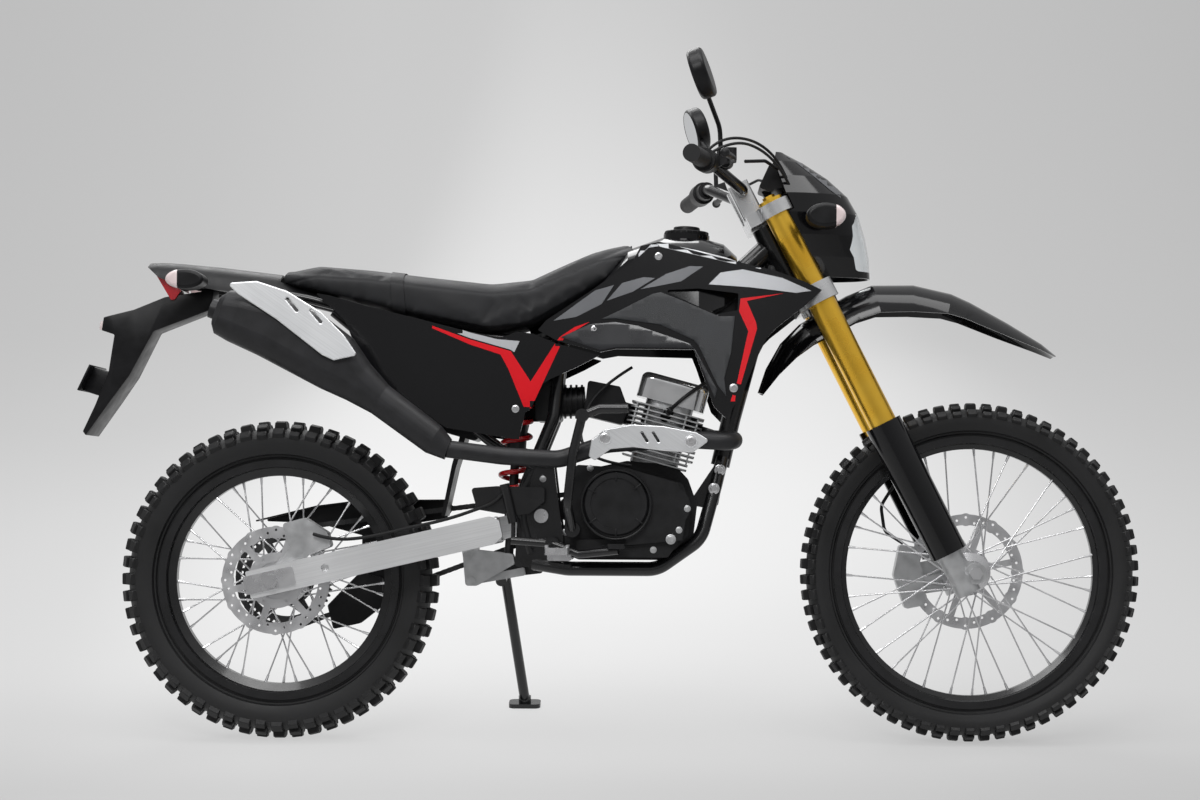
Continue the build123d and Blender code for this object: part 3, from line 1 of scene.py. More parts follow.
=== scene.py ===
import json
from math import asin, atan2, cos, hypot, pi, radians, sin, sqrt
import bmesh
import bpy
from mathutils import Matrix, Vector


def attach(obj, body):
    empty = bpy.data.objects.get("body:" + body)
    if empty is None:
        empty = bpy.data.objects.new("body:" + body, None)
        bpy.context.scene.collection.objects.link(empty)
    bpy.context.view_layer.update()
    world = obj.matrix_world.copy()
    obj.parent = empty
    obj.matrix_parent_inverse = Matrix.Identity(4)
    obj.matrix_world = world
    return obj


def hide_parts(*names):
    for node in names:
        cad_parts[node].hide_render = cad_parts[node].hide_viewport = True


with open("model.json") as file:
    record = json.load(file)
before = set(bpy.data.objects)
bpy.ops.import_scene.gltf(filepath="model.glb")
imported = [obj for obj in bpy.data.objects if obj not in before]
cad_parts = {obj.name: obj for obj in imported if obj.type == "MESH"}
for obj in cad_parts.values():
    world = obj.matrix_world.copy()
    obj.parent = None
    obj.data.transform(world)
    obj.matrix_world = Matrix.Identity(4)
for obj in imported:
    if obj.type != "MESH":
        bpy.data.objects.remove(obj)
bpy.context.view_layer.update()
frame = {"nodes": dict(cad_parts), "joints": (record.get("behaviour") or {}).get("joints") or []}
print("frame loaded:", len(frame["nodes"]), "nodes")

# The machine is stored leaning on its stand. Pieces are modelled upright, in millimetres from the ground
# under the rear axle with X ahead, Y to the rider's left and Z up, and are leaned over when they are settled.
joints = {joint["name"]: joint for joint in frame["joints"]}
mm = 0.001
rearRadius = 316.0
rearAxle = Vector(joints["rear_wheel_spin"]["pos_m"])
frontAxle = Vector(joints["front_wheel_spin"]["pos_m"])
ahead = Vector((1, 0, 0))
leftward = Vector(joints["rear_wheel_spin"]["axis"]).normalized()
upward = ahead.cross(leftward)
bikeTurn = Matrix((ahead, leftward, upward)).transposed()
bikeToRow = Matrix.Translation(rearAxle - upward * rearRadius * mm) @ bikeTurn.to_4x4()
rowToBike = bikeToRow.inverted()
wheelbase = (rowToBike @ frontAxle).x / mm
frontRadius = (rowToBike @ frontAxle).z / mm


def spot(x, y, z):
    return Vector((x * mm, y * mm, z * mm))


# studio
studio = {
    "distance": 5.0, "aimX": 766.0, "aimZ": 459.0, "lens": 75.0,
    "shiftX": -0.054, "shiftY": 0.0917, "roll": 0.33,
    "topBox": {"place": (0.0, -0.4, 3.3), "aim": (0.0, 0.0, 0.6), "size": (3.4, 1.4), "power": 55.0},
    "frontBox": {"place": (-0.8, -2.9, 3.3), "aim": (0.0, 0.0, 0.6), "size": (1.8, 1.0), "power": 46.0},
    "backBox": {"place": (-0.9, 2.5, 2.6), "aim": (0.0, 0.0, 0.6), "size": (2.6, 1.0), "power": 34.0},
    "floor": (26.0, 22.0), "wall": 9.0, "sweep": 4.0, "sweepSteps": 24,
    # the backdrop's glow is a painted pool of light, brightest in its middle; painted light lifts it towards
    # the rear of the machine and painted shade darkens it towards the front
    "glowPlace": (-0.455, 5.01), "glowReach": (0.913, 1.755, 5.857, 4.926), "glowShare": 0.74, "paper": 0.60,
    "glowSteps": (
        (0.0, 1.0), (0.45, 1.0), (0.7, 0.96), (0.95, 0.81), (1.2, 0.635), (1.6, 0.62), (2.4, 0.56),
        (4.0, 0.50),
    ),
    "frontShadeSteps": ((-3.0, 0.76), (-0.6, 0.756), (-0.36, 0.854), (-0.06, 0.94), (0.25, 1.0)),
    "leftLightLift": 0.11, "leftReach": 1.2, "tint": 1.008,
    "worldLight": ((-1.0, 0.16), (0.1, 0.16), (0.45, 0.32), (0.8, 0.85), (1.0, 0.85)),
    "worldShown": ((-1.0, 0.45), (0.0, 0.46), (0.4, 0.55), (1.0, 0.75)), "worldGloss": 0.35,
}


def makeCamera():
    data = bpy.data.cameras.new("camera")
    data.lens = studio["lens"]
    data.shift_x = studio["shiftX"]
    data.shift_y = studio["shiftY"]
    camera = bpy.data.objects.new("camera", data)
    bpy.context.scene.collection.objects.link(camera)
    place = spot(studio["aimX"], -studio["distance"] / mm, studio["aimZ"])
    look = Matrix.Rotation(radians(90), 4, "X") @ Matrix.Rotation(radians(studio["roll"]), 4, "Z")
    camera.matrix_world = bikeToRow @ Matrix.Translation(place) @ look
    bpy.context.scene.camera = camera


def makeLight(name):
    setting = studio[name]
    data = bpy.data.lights.new(name, "AREA")
    data.shape = "RECTANGLE"
    data.size, data.size_y = setting["size"]
    data.energy = setting["power"]
    light = bpy.data.objects.new(name, data)
    bpy.context.scene.collection.objects.link(light)
    place = Vector(setting["place"])
    light.location = place
    light.rotation_euler = (Vector(setting["aim"]) - place).to_track_quat("-Z", "Y").to_euler()


def feed(tree, entry, value):
    # an input takes a value or what comes out of another node
    if isinstance(value, bpy.types.NodeSocket):
        tree.links.new(value, entry)
    else:
        entry.default_value = value


def addNode(tree, kind, **values):
    node = tree.nodes.new(kind)
    for key, value in values.items():
        if hasattr(node, key):
            setattr(node, key, value)
        else:
            feed(tree, node.inputs[key.replace("_", " ")], value)
    return node


def startTree(owner):
    # the empty node tree of a material or a world
    owner.use_nodes = True
    owner.node_tree.nodes.clear()
    return owner.node_tree


def mixed(tree, share, first, second, kind):
    # the output of the tree is the first shader, and the given share of it the second
    both = addNode(tree, "ShaderNodeMixShader", Fac=share)
    tree.links.new(first.outputs[0], both.inputs[1])
    tree.links.new(second.outputs[0], both.inputs[2])
    addNode(tree, kind, Surface=both.outputs[0])


def mathNode(tree, operation, first, second):
    # one sum of two values, each a socket or a number
    node = addNode(tree, "ShaderNodeMath", operation=operation)
    feed(tree, node.inputs[0], first)
    feed(tree, node.inputs[1], second)
    return node.outputs[0]


def greyRamp(tree, source, steps):
    # a grey that follows (value, level) steps smoothly from the first value to the last
    low, high = steps[0][0], steps[-1][0]
    scaled = addNode(tree, "ShaderNodeMapRange", Value=source, From_Min=low, From_Max=high)
    ramp = addNode(tree, "ShaderNodeValToRGB", Fac=scaled.outputs[0])
    ramp.color_ramp.interpolation = "B_SPLINE"
    stops = ramp.color_ramp.elements
    for place, (value, level) in enumerate(steps):
        at = (value - low) / (high - low)
        inside = 0 < place < len(steps) - 1
        stop = stops.new(at) if inside else stops[0 if place == 0 else len(stops) - 1]
        stop.position = at
        stop.color = (level, level, level * studio["tint"], 1)
    return ramp.outputs[0]


def seenBy(tree, glossy):
    # 1 for the camera and through glass, and the given share in reflections
    path = addNode(tree, "ShaderNodeLightPath")
    reflected = mathNode(tree, "MULTIPLY", path.outputs["Is Glossy Ray"], glossy)
    direct = mathNode(tree, "MAXIMUM", path.outputs["Is Camera Ray"], path.outputs["Is Transmission Ray"])
    return mathNode(tree, "MAXIMUM", direct, reflected)


def makeBackdrop():
    bpy.ops.mesh.primitive_plane_add(size=1, location=(0, 0, 0))
    floor = bpy.context.object
    floor.name = "floor"
    edit()
    bpy.ops.transform.resize(value=(*studio["floor"], 1), center_override=(0, 0, 0))
    back = studio["floor"][1] / 2 - 0.1
    pick(floor, "EDGE", lambda middle, item: middle.y > back)
    bpy.ops.mesh.extrude_region_move(TRANSFORM_OT_translate={"value": (0, 0, studio["wall"])})
    pick(floor, "EDGE", lambda middle, item: middle.y > back and abs(middle.z) < 0.01)
    bpy.ops.mesh.bevel(offset=studio["sweep"], segments=studio["sweepSteps"])
    done()
    bpy.ops.object.shade_smooth()
    material = bpy.data.materials.new("paperSweep")
    tree = startTree(material)
    place = addNode(tree, "ShaderNodeTexCoord").outputs["Object"]
    split = addNode(tree, "ShaderNodeSeparateXYZ", Vector=place)
    # painted pool of light: how far a point is from the middle of the glow, with its own reach to each side
    (x, y), reach = studio["glowPlace"], studio["glowReach"]
    sides = []
    for axis, middle, low, high in (("X", x, reach[0], reach[1]), ("Y", y, reach[2], reach[3])):
        away = mathNode(tree, "SUBTRACT", split.outputs[axis], middle)
        above, below = mathNode(tree, "DIVIDE", away, high), mathNode(tree, "DIVIDE", away, -low)
        sides.append(mathNode(tree, "MAXIMUM", above, below))
    joint = addNode(tree, "ShaderNodeCombineXYZ", X=sides[0], Y=sides[1])
    far = addNode(tree, "ShaderNodeVectorMath", operation="LENGTH", Vector=joint.outputs[0])
    level = greyRamp(tree, far.outputs["Value"], studio["glowSteps"])
    # painted light lifts the backdrop towards the rear of the machine, and painted shade darkens it towards
    # the front
    left = ((x - studio["leftReach"], studio["leftLightLift"]), (x, 0.0))
    lift = greyRamp(tree, split.outputs["X"], left)
    front = greyRamp(tree, split.outputs["Y"], studio["frontShadeSteps"])
    level = mathNode(tree, "MULTIPLY", mathNode(tree, "ADD", level, lift), front)
    paper = addNode(tree, "ShaderNodeBsdfDiffuse", Color=(*[studio["paper"]] * 3, 1))
    glow = addNode(tree, "ShaderNodeEmission", Strength=1.0, Color=level)
    share = mathNode(tree, "MULTIPLY", seenBy(tree, 1.0), studio["glowShare"])
    mixed(tree, share, paper, glow, "ShaderNodeOutputMaterial")
    floor.data.materials.append(material)


def makeWorld():
    world = bpy.data.worlds.new("studio")
    bpy.context.scene.world = world
    tree = startTree(world)
    place = addNode(tree, "ShaderNodeTexCoord").outputs["Generated"]
    height = addNode(tree, "ShaderNodeSeparateXYZ", Vector=place).outputs["Z"]
    soft, seen = [
        addNode(tree, "ShaderNodeBackground", Strength=1.0, Color=greyRamp(tree, height, studio[steps]))
        for steps in ("worldLight", "worldShown")
    ]
    mixed(tree, seenBy(tree, studio["worldGloss"]), soft, seen, "ShaderNodeOutputWorld")


# modelling helpers
def edit():
    bpy.ops.object.mode_set(mode="EDIT")


def done():
    bpy.ops.object.mode_set(mode="OBJECT")


def selectAll():
    bpy.ops.mesh.select_all(action="SELECT")


def cutAt(place, direction, **values):
    # cuts the whole mesh being edited along a plane
    selectAll()
    bpy.ops.mesh.bisect(plane_co=place, plane_no=direction, **values)


weld = 0.00002
laying = {"step": 12.0, "lift": 0.4, "far": 300.0, "missed": 290.0, "rayFrom": 400.0}


def rest():
    if bpy.context.mode != "OBJECT":
        done()
    bpy.ops.object.select_all(action="DESELECT")


def choose(piece):
    rest()
    piece.select_set(True)
    bpy.context.view_layer.objects.active = piece


def pick(piece, kind, test):
    # selects the faces, edges or vertices of the piece being edited whose middle passes the test
    bpy.ops.mesh.select_mode(type=kind)
    bpy.ops.mesh.select_all(action="DESELECT")
    cage = bmesh.from_edit_mesh(piece.data)
    items = {"FACE": cage.faces, "EDGE": cage.edges, "VERT": cage.verts}[kind]
    for item in items:
        corners = [item] if kind == "VERT" else item.verts
        middle = sum((v.co for v in corners), Vector()) / len(corners)
        if test(middle, item):
            item.select_set(True)
    cage.select_flush_mode()
    bmesh.update_edit_mesh(piece.data)


def finishModifiers(piece):
    choose(piece)
    for modifier in list(piece.modifiers):
        bpy.ops.object.modifier_apply(modifier=modifier.name)


def settle(piece, body, material, smooth=32.0):
    # leans the finished piece over with the machine and hands it to its body
    choose(piece)
    piece.matrix_world = bikeToRow @ piece.matrix_world
    finishModifiers(piece)
    piece.data.transform(piece.matrix_world)
    piece.matrix_world = Matrix.Identity(4)
    bpy.ops.object.shade_smooth_by_angle(angle=radians(smooth))
    piece.data.materials.clear()
    piece.data.materials.append(material)
    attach(piece, body)


def joined(name, pieces):
    rest()
    for piece in pieces:
        piece.select_set(True)
    bpy.context.view_layer.objects.active = pieces[0]
    if len(pieces) > 1:
        bpy.ops.object.join()
    pieces[0].name = name
    return bpy.context.view_layer.objects.active


def copyOf(piece, place):
    # a copy with its own mesh, put in place by a matrix
    twin = piece.copy()
    twin.data = piece.data.copy()
    twin.data.transform(place)
    bpy.context.scene.collection.objects.link(twin)
    return twin


def discard(piece):
    bpy.data.objects.remove(piece, do_unlink=True)


def cylinder(sides, radius, length, lift=0.0):
    # a cylinder along Z, in metres
    rest()
    bpy.ops.mesh.primitive_cylinder_add(vertices=sides, radius=radius, depth=length, location=(0, 0, lift))
    return bpy.context.object


def cube():
    rest()
    bpy.ops.mesh.primitive_cube_add(size=1, location=(0, 0, 0))
    return bpy.context.object


def rightWay(piece):
    choose(piece)
    edit()
    selectAll()
    bpy.ops.mesh.remove_doubles(threshold=weld)
    bpy.ops.mesh.normals_make_consistent(inside=False)
    done()


def trace(name, points):
    # a line of vertices, drawn by extruding one vertex from point to point
    rest()
    bpy.ops.mesh.primitive_plane_add(size=0.001, location=(0, 0, 0))
    piece = bpy.context.object
    piece.name = name
    edit()
    bpy.ops.mesh.select_mode(type="VERT")
    selectAll()
    bpy.ops.mesh.merge(type="CENTER")
    bpy.ops.transform.translate(value=points[0])
    for last, point in zip(points, points[1:]):
        bpy.ops.mesh.extrude_region_move(TRANSFORM_OT_translate={"value": Vector(point) - Vector(last)})
    return piece


def lathe(name, points, centre, steps):
    # a profile spun about a line across the machine
    piece = trace(name, points)
    selectAll()
    bpy.ops.mesh.spin(steps=steps, angle=2 * pi, center=centre, axis=(0, 1, 0))
    done()
    rightWay(piece)
    return piece


def slabOf(name, corners, yLow, yHigh):
    # a flat outline in X and Z filled and extruded across the machine
    piece = trace(name, [spot(x, yLow, z) for x, z in corners])
    selectAll()
    bpy.ops.mesh.edge_face_add()
    bpy.ops.mesh.extrude_region_move(TRANSFORM_OT_translate={"value": spot(0, yHigh - yLow, 0)})
    done()
    rightWay(piece)
    return piece


def softEdge(piece, width, segments, angle=30.0):
    bevel = piece.modifiers.new("edge", "BEVEL")
    bevel.width = width * mm
    bevel.segments = segments
    bevel.limit_method = "ANGLE"
    bevel.angle_limit = radians(angle)


def hose(name, points, radius):
    # a round cord through control points
    curve = bpy.data.curves.new(name, "CURVE")
    curve.dimensions = "3D"
    line = curve.splines.new("NURBS")
    line.points.add(len(points) - 1)
    for knot, point in zip(line.points, points):
        knot.co = (*spot(*point), 1)
    line.order_u = 3
    line.use_endpoint_u = True
    curve.bevel_depth = radius * mm
    curve.bevel_resolution = 5
    curve.use_fill_caps = True
    piece = bpy.data.objects.new(name, curve)
    bpy.context.scene.collection.objects.link(piece)
    choose(piece)
    bpy.ops.object.convert(target="MESH")
    return bpy.context.object


def turned(name, profile, origin, direction, steps):
    # a profile of (radius, height) spun about a line that starts at a point of the machine
    piece = trace(name, [spot(radius, 0, height) for radius, height in profile])
    selectAll()
    bpy.ops.mesh.spin(steps=steps, angle=2 * pi, center=(0, 0, 0), axis=(0, 0, 1))
    done()
    rightWay(piece)
    turn = Vector(direction).normalized().to_track_quat("Z", "X").to_matrix().to_4x4()
    piece.data.transform(Matrix.Translation(spot(*origin)) @ turn)
    return piece


def bar(name, start, end, radius, sides, edge):
    # a round or many-sided bar between two points, with its ends broken
    low, high = spot(*start), spot(*end)
    piece = cylinder(sides, radius * mm, (high - low).length)
    piece.name = name
    turn = (high - low).to_track_quat("Z", "X").to_matrix().to_4x4()
    piece.data.transform(Matrix.Translation((low + high) / 2) @ turn)
    softEdge(piece, edge, 2)
    finishModifiers(piece)
    return piece


def blockOf(name, middle, size, turn, edge):
    # a bevelled block turned about a line across the machine
    piece = cube()
    piece.name = name
    shape = Matrix.Diagonal((*[value * mm for value in size], 1))
    piece.data.transform(Matrix.Translation(spot(*middle)) @ Matrix.Rotation(radians(turn), 4, "Y") @ shape)
    softEdge(piece, edge, 2)
    finishModifiers(piece)
    return piece


def sliceOf(name, node, cuts, swell):
    # the part of a node in front of some planes, each a point and a direction, swollen a little
    source = frame["nodes"][node]
    piece = bpy.data.objects.new(name, source.data.copy())
    bpy.context.scene.collection.objects.link(piece)
    piece.data.transform(rowToBike)
    choose(piece)
    edit()
    selectAll()
    bpy.ops.mesh.remove_doubles(threshold=weld)
    for place, direction in cuts:
        cutAt(spot(*place), direction, use_fill=True, clear_inner=True)
    if swell:
        selectAll()
        bpy.ops.transform.shrink_fatten(value=swell * mm)
    done()
    return piece


def surfaceAt(names, x, z, side):
    # how far out the nodes reach at a point seen from one side of the machine
    start = bikeToRow @ spot(x, laying["rayFrom"] * side, z)
    found = []
    for name in names:
        hit, place = frame["nodes"][name].ray_cast(start, leftward * -side)[:2]
        if hit:
            found.append((rowToBike @ place).y / mm)
    if not found:
        print("nothing to fasten to at", x, z)
        return 0.0
    return max(found) if side > 0 else min(found)


def overlay(name, corners, side, targets, thick, edge=0.0):
    # a thin panel or transfer cut to an outline in X and Z and laid on some nodes from one side
    ground = joined("ground", [copyOf(frame["nodes"][target], Matrix.Identity(4)) for target in targets])
    far = laying["far"] * side
    piece = trace(name, [spot(x, far, z) for x, z in corners])
    selectAll()
    bpy.ops.mesh.edge_face_add()
    for axis, direction in ((0, (1, 0, 0)), (1, (0, 0, 1))):
        low = min(corner[axis] for corner in corners)
        high = max(corner[axis] for corner in corners)
        for i in range(1, int((high - low) / laying["step"]) + 1):
            at = [0.0, 0.0]
            at[axis] = low + i * laying["step"]
            cutAt(spot(at[0], far, at[1]), direction)
    done()
    wrap = piece.modifiers.new("wrap", "SHRINKWRAP")
    wrap.wrap_method = "PROJECT"
    wrap.use_project_y = True
    wrap.use_negative_direction = side > 0
    wrap.use_positive_direction = side < 0
    wrap.target = ground
    wrap.offset = laying["lift"] * mm
    piece.matrix_world = bikeToRow
    finishModifiers(piece)
    piece.matrix_world = Matrix.Identity(4)
    discard(ground)
    edit()
    # points that met nothing are still far out, and go
    pick(piece, "VERT", lambda middle, item: abs(middle.y) > laying["missed"] * mm)
    bpy.ops.mesh.delete(type="VERT")
    selectAll()
    bpy.ops.mesh.normals_make_consistent(inside=False)
    pick(piece, "FACE", lambda middle, item: True)
    if sum(polygon.normal.y for polygon in bmesh.from_edit_mesh(piece.data).faces) * side < 0:
        bpy.ops.mesh.flip_normals()
    done()
    wall = piece.modifiers.new("wall", "SOLIDIFY")
    wall.thickness = thick * mm
    wall.offset = 1
    if edge:
        softEdge(piece, edge, 2, 50)
    return piece


# finishes
materials = {}


def startMaterial(name):
    material = materials[name] = bpy.data.materials.new(name)
    tree = startTree(material)
    shader = addNode(tree, "ShaderNodeBsdfPrincipled")
    addNode(tree, "ShaderNodeOutputMaterial", Surface=shader.outputs[0])
    return tree, shader


def bikePlace(tree, origin=(0.0, 0.0, 0.0), turn=0.0, scale=(1.0, 1.0, 1.0)):
    # object coordinates brought upright about a point of the machine, turned about Y and scaled
    place = addNode(tree, "ShaderNodeTexCoord").outputs["Object"]
    for kind, values in (
        ("TEXTURE", {"Location": bikeToRow @ spot(*origin), "Rotation": bikeTurn.to_euler()}),
        ("POINT", {"Rotation": (0, radians(turn), 0)}), ("POINT", {"Scale": scale}),
    ):
        place = addNode(tree, "ShaderNodeMapping", vector_type=kind, Vector=place, **values).outputs[0]
    return place


# the two values of a pattern that a ramp runs between
rampEnds = (0.3, 0.7)
texture = {
    "brushed": (6.0, 900.0, 900.0), "brushedDetail": 4.0, "ringWaver": 1.5, "cloudShare": 40.0,
    "cloudLeast": 3.0, "coatRoughness": 0.08,
}


def ramped(tree, source, low, high):
    start, end = rampEnds
    values = {"From_Min": start, "From_Max": end, "To_Min": low, "To_Max": high}
    return addNode(tree, "ShaderNodeMapRange", Value=source, **values).outputs[0]


def colourBetween(tree, source, *colours):
    ramp = addNode(tree, "ShaderNodeValToRGB", Fac=source)
    for stop, place, colour in zip(ramp.color_ramp.elements, rampEnds, colours):
        stop.position = place
        stop.color = (*colour, 1)
    return ramp.outputs[0]


def addBump(tree, shader, height, strength, distance):
    bump = addNode(tree, "ShaderNodeBump", Strength=strength, Distance=distance * mm, Height=height)
    tree.links.new(bump.outputs[0], shader.inputs["Normal"])


finishes = {
    "framePaint": {
        "colours": ((0.006, 0.006, 0.0065), (0.010, 0.010, 0.011)), "roughness": (0.20, 0.30), "grain": 900,
        "bump": 0.03, "depth": 0.3, "specular": 0.4, "coat": 0.3,
    },
    "engineCoat": {
        "colours": ((0.0060, 0.0060, 0.0065), (0.011, 0.011, 0.0122)), "roughness": (0.38, 0.52),
        "grain": 1400, "bump": 0.35, "depth": 0.25, "specular": 0.32,
    },
    "castAluminium": {
        "colours": ((0.42, 0.425, 0.43), (0.56, 0.565, 0.57)), "roughness": (0.34, 0.48), "grain": 1500,
        "bump": 0.3, "depth": 0.25, "metallic": 0.85,
    },
    "machinedAluminium": {
        "colours": ((0.66, 0.665, 0.67), (0.80, 0.805, 0.81)), "roughness": (0.22, 0.34), "grain": 700,
        "bump": 0.06, "depth": 0.15, "metallic": 0.9,
    },
    "brightSteel": {
        "colours": ((0.60, 0.60, 0.61), (0.76, 0.76, 0.77)), "roughness": (0.20, 0.34), "grain": 800,
        "bump": 0.05, "depth": 0.1, "metallic": 0.95,
    },
    "darkSteel": {
        "colours": ((0.030, 0.030, 0.031), (0.075, 0.075, 0.076)), "roughness": (0.30, 0.46), "grain": 900,
        "bump": 0.1, "depth": 0.15, "metallic": 0.7,
    },
    "chrome": {
        "colours": ((0.72, 0.73, 0.75), (0.82, 0.83, 0.85)), "roughness": (0.05, 0.12), "grain": 300,
        "bump": 0.01, "depth": 0.1, "metallic": 1.0,
    },
    "springPaint": {
        "colours": ((0.50, 0.006, 0.010), (0.62, 0.010, 0.014)), "roughness": (0.22, 0.32), "grain": 500,
        "bump": 0.04, "depth": 0.2, "coat": 0.4,
    },
    "tyreRubber": {
        "colours": ((0.0060, 0.0060, 0.0063), (0.0125, 0.0125, 0.0132)), "roughness": (0.46, 0.66),
        "grain": 420, "bump": 0.25, "depth": 0.4, "specular": 0.42,
    },
    "gripRubber": {
        "colours": ((0.0065, 0.0065, 0.007), (0.0115, 0.0115, 0.0125)), "roughness": (0.5, 0.66),
        "grain": 900, "bump": 0.25, "depth": 0.3, "specular": 0.35,
    },
    "blackPlastic": {
        "colours": ((0.0045, 0.0045, 0.0050), (0.0080, 0.0080, 0.0090)), "roughness": (0.34, 0.46),
        "grain": 1600, "bump": 0.22, "depth": 0.18, "specular": 0.24,
    },
    "glossPlastic": {
        "colours": ((0.0030, 0.0030, 0.0035), (0.0045, 0.0045, 0.0053)), "roughness": (0.10, 0.15),
        "grain": 90, "bump": 0.012, "depth": 0.5, "specular": 0.25, "coat": 0.28,
    },
    "grainedPanel": {
        "colours": ((0.013, 0.014, 0.016), (0.023, 0.025, 0.028)), "roughness": (0.40, 0.52), "grain": 700,
        "bump": 0.75, "depth": 0.55, "specular": 0.45,
    },
    "greyPanel": {
        "colours": ((0.0125, 0.013, 0.015), (0.018, 0.019, 0.022)), "roughness": (0.24, 0.34), "grain": 500,
        "bump": 0.06, "depth": 0.2, "specular": 0.45, "coat": 0.25,
    },
    "redFilm": {
        "colours": ((0.62, 0.006, 0.012), (0.68, 0.010, 0.018)), "roughness": (0.24, 0.32), "grain": 200,
        "bump": 0.01, "depth": 0.2, "specular": 0.2, "coat": 0.08,
    },
    "silverFilm": {
        "colours": ((0.36, 0.365, 0.38), (0.52, 0.53, 0.55)), "roughness": (0.28, 0.38), "grain": 26,
        "bump": 0.01, "depth": 0.2, "metallic": 0.2, "coat": 0.2,
    },
    "greyFilm": {
        "colours": ((0.050, 0.052, 0.058), (0.15, 0.155, 0.165)), "roughness": (0.28, 0.36), "grain": 9,
        "bump": 0.01, "depth": 0.2, "metallic": 0.2, "coat": 0.2,
    },
    "whiteFilm": {
        "colours": ((0.66, 0.67, 0.69), (0.76, 0.77, 0.79)), "roughness": (0.28, 0.36), "grain": 30,
        "bump": 0.01, "depth": 0.2, "coat": 0.2,
    },
    # a smoked visor pane whose grey is partly its own tint and partly a painted sheen
    "visorGreySheen": {
        "colours": ((0.055, 0.057, 0.062), (0.085, 0.088, 0.095)), "roughness": (0.26, 0.34), "grain": 200,
        "bump": 0.01, "depth": 0.2, "coat": 0.2,
    },
    "redLens": {
        "colours": ((0.36, 0.004, 0.010), (0.55, 0.012, 0.02)), "roughness": (0.08, 0.14), "grain": 260,
        "bump": 0.25, "depth": 0.8, "coat": 0.8,
    },
    "paleLens": {
        "colours": ((0.62, 0.46, 0.46), (0.80, 0.72, 0.71)), "roughness": (0.08, 0.14), "grain": 240,
        "bump": 0.3, "depth": 0.8, "coat": 0.8,
    },
    "goldAnodised": {
        "colours": ((0.86, 0.47, 0.035), (0.97, 0.62, 0.085)), "roughness": (0.24, 0.32),
        "grain": 1200, "fineDetail": 2.0, "broad": 9.0, "broadDetail": 3.0,
        "bump": 0.05, "depth": 0.1, "metallic": 0.95,
    },
    "brushedArm": {
        "slope": 13.1, "colours": ((0.80, 0.805, 0.81), (0.92, 0.925, 0.93)), "roughness": (0.34, 0.44),
        "broad": 7.0, "broadDetail": 2.0, "bump": 0.12, "depth": 0.12, "metallic": 0.9,
    },
    "brushedGuard": {
        "slope": -35.0, "colours": ((0.76, 0.77, 0.78), (0.88, 0.89, 0.90)), "roughness": (0.34, 0.42),
        "broad": 7.0, "broadDetail": 2.0, "bump": 0.12, "depth": 0.12, "metallic": 0.9,
    },
    "turnedRear": {
        "rings": 150.0, "colours": ((0.60, 0.60, 0.61), (0.74, 0.74, 0.75)), "roughness": (0.26, 0.4),
        "origin": (0, 0, rearRadius), "broad": 30.0, "broadDetail": 3.0, "bump": 0.1, "depth": 0.1,
        "metallic": 0.9,
    },
    "saddleVinyl": {
        "cells": 620.0, "colours": ((0.0065, 0.0066, 0.0075), (0.012, 0.0122, 0.0138)),
        "roughness": (0.46, 0.6), "broad": 16.0, "broadDetail": 4.0, "bump": 0.5, "depth": 0.35,
        "specular": 0.24,
    },
}
variants = {
    "rimPaint": ("framePaint", {"roughness": (0.26, 0.34)}),
    "exhaustCoat": ("engineCoat", {"colours": ((0.013, 0.013, 0.014), (0.020, 0.020, 0.022)), "bump": 0.18}),
    "polishedCover": ("machinedAluminium", {"roughness": (0.10, 0.20), "bump": 0.02}),
    "turnedFront": ("turnedRear", {"origin": (wheelbase, 0, frontRadius)}),
}
glasses = {
    "clearLens": {
        "colour": (0.95, 0.97, 0.98, 1), "wave": 40.0, "roughness": (0.01, 0.04), "bump": (0.02, 0.3),
        "values": {"Transmission Weight": 1.0, "IOR": 1.35},
    },
    "lookingGlass": {
        "colour": (0.80, 0.82, 0.84, 1), "wave": 12.0, "roughness": (0.02, 0.05), "values": {"Metallic": 1.0},
    },
}


def noise(tree, where, scale, detail):
    return addNode(tree, "ShaderNodeTexNoise", Vector=where, Scale=float(scale), Detail=detail).outputs[0]


def finePattern(tree, where, look):
    # what the relief follows: brushed lines, turned rings, leather cells or a plain grain
    if "slope" in look:
        along = bikePlace(tree, turn=look["slope"], scale=texture["brushed"])
        return noise(tree, along, 1.0, texture["brushedDetail"])
    if "rings" in look:
        rings = {"Scale": look["rings"], "Distortion": texture["ringWaver"]}
        kind = {"wave_type": "RINGS", "rings_direction": "Y"}
        return addNode(tree, "ShaderNodeTexWave", Vector=where, **kind, **rings).outputs[0]
    if "cells" in look:
        cells = {"feature": "DISTANCE_TO_EDGE", "Scale": look["cells"]}
        return addNode(tree, "ShaderNodeTexVoronoi", Vector=where, **cells).outputs["Distance"]
    return noise(tree, where, look["grain"], look.get("fineDetail", 3.0))


def makeFinish(name, look):
    # colour and roughness change slowly over a surface, and brushed metal changes colour line by line
    tree, shader = startMaterial(name)
    where = bikePlace(tree, origin=look.get("origin", (0.0, 0.0, 0.0)))
    fine = finePattern(tree, where, look)
    usual = max(look.get("grain", 0) / texture["cloudShare"], texture["cloudLeast"])
    broad = noise(tree, where, look.get("broad", usual), look.get("broadDetail", 4.0))
    tone = fine if "slope" in look else broad
    addBump(tree, shader, fine, look["bump"], look["depth"])
    for entry, value in (
        ("Base Color", colourBetween(tree, tone, *look["colours"])),
        ("Roughness", ramped(tree, broad, *look["roughness"])), ("Metallic", look.get("metallic", 0.0)),
        ("Specular IOR Level", look.get("specular", 0.5)), ("Coat Weight", look.get("coat", 0.0)),
        ("Coat Roughness", texture["coatRoughness"]),
    ):
        feed(tree, shader.inputs[entry], value)


def makeGlass(name, look):
    tree, shader = startMaterial(name)
    wave = noise(tree, bikePlace(tree), look["wave"], 1.0)
    tree.links.new(ramped(tree, wave, *look["roughness"]), shader.inputs["Roughness"])
    if "bump" in look:
        addBump(tree, shader, wave, *look["bump"])
    shader.inputs["Base Color"].default_value = look["colour"]
    for key, value in look["values"].items():
        shader.inputs[key].default_value = value


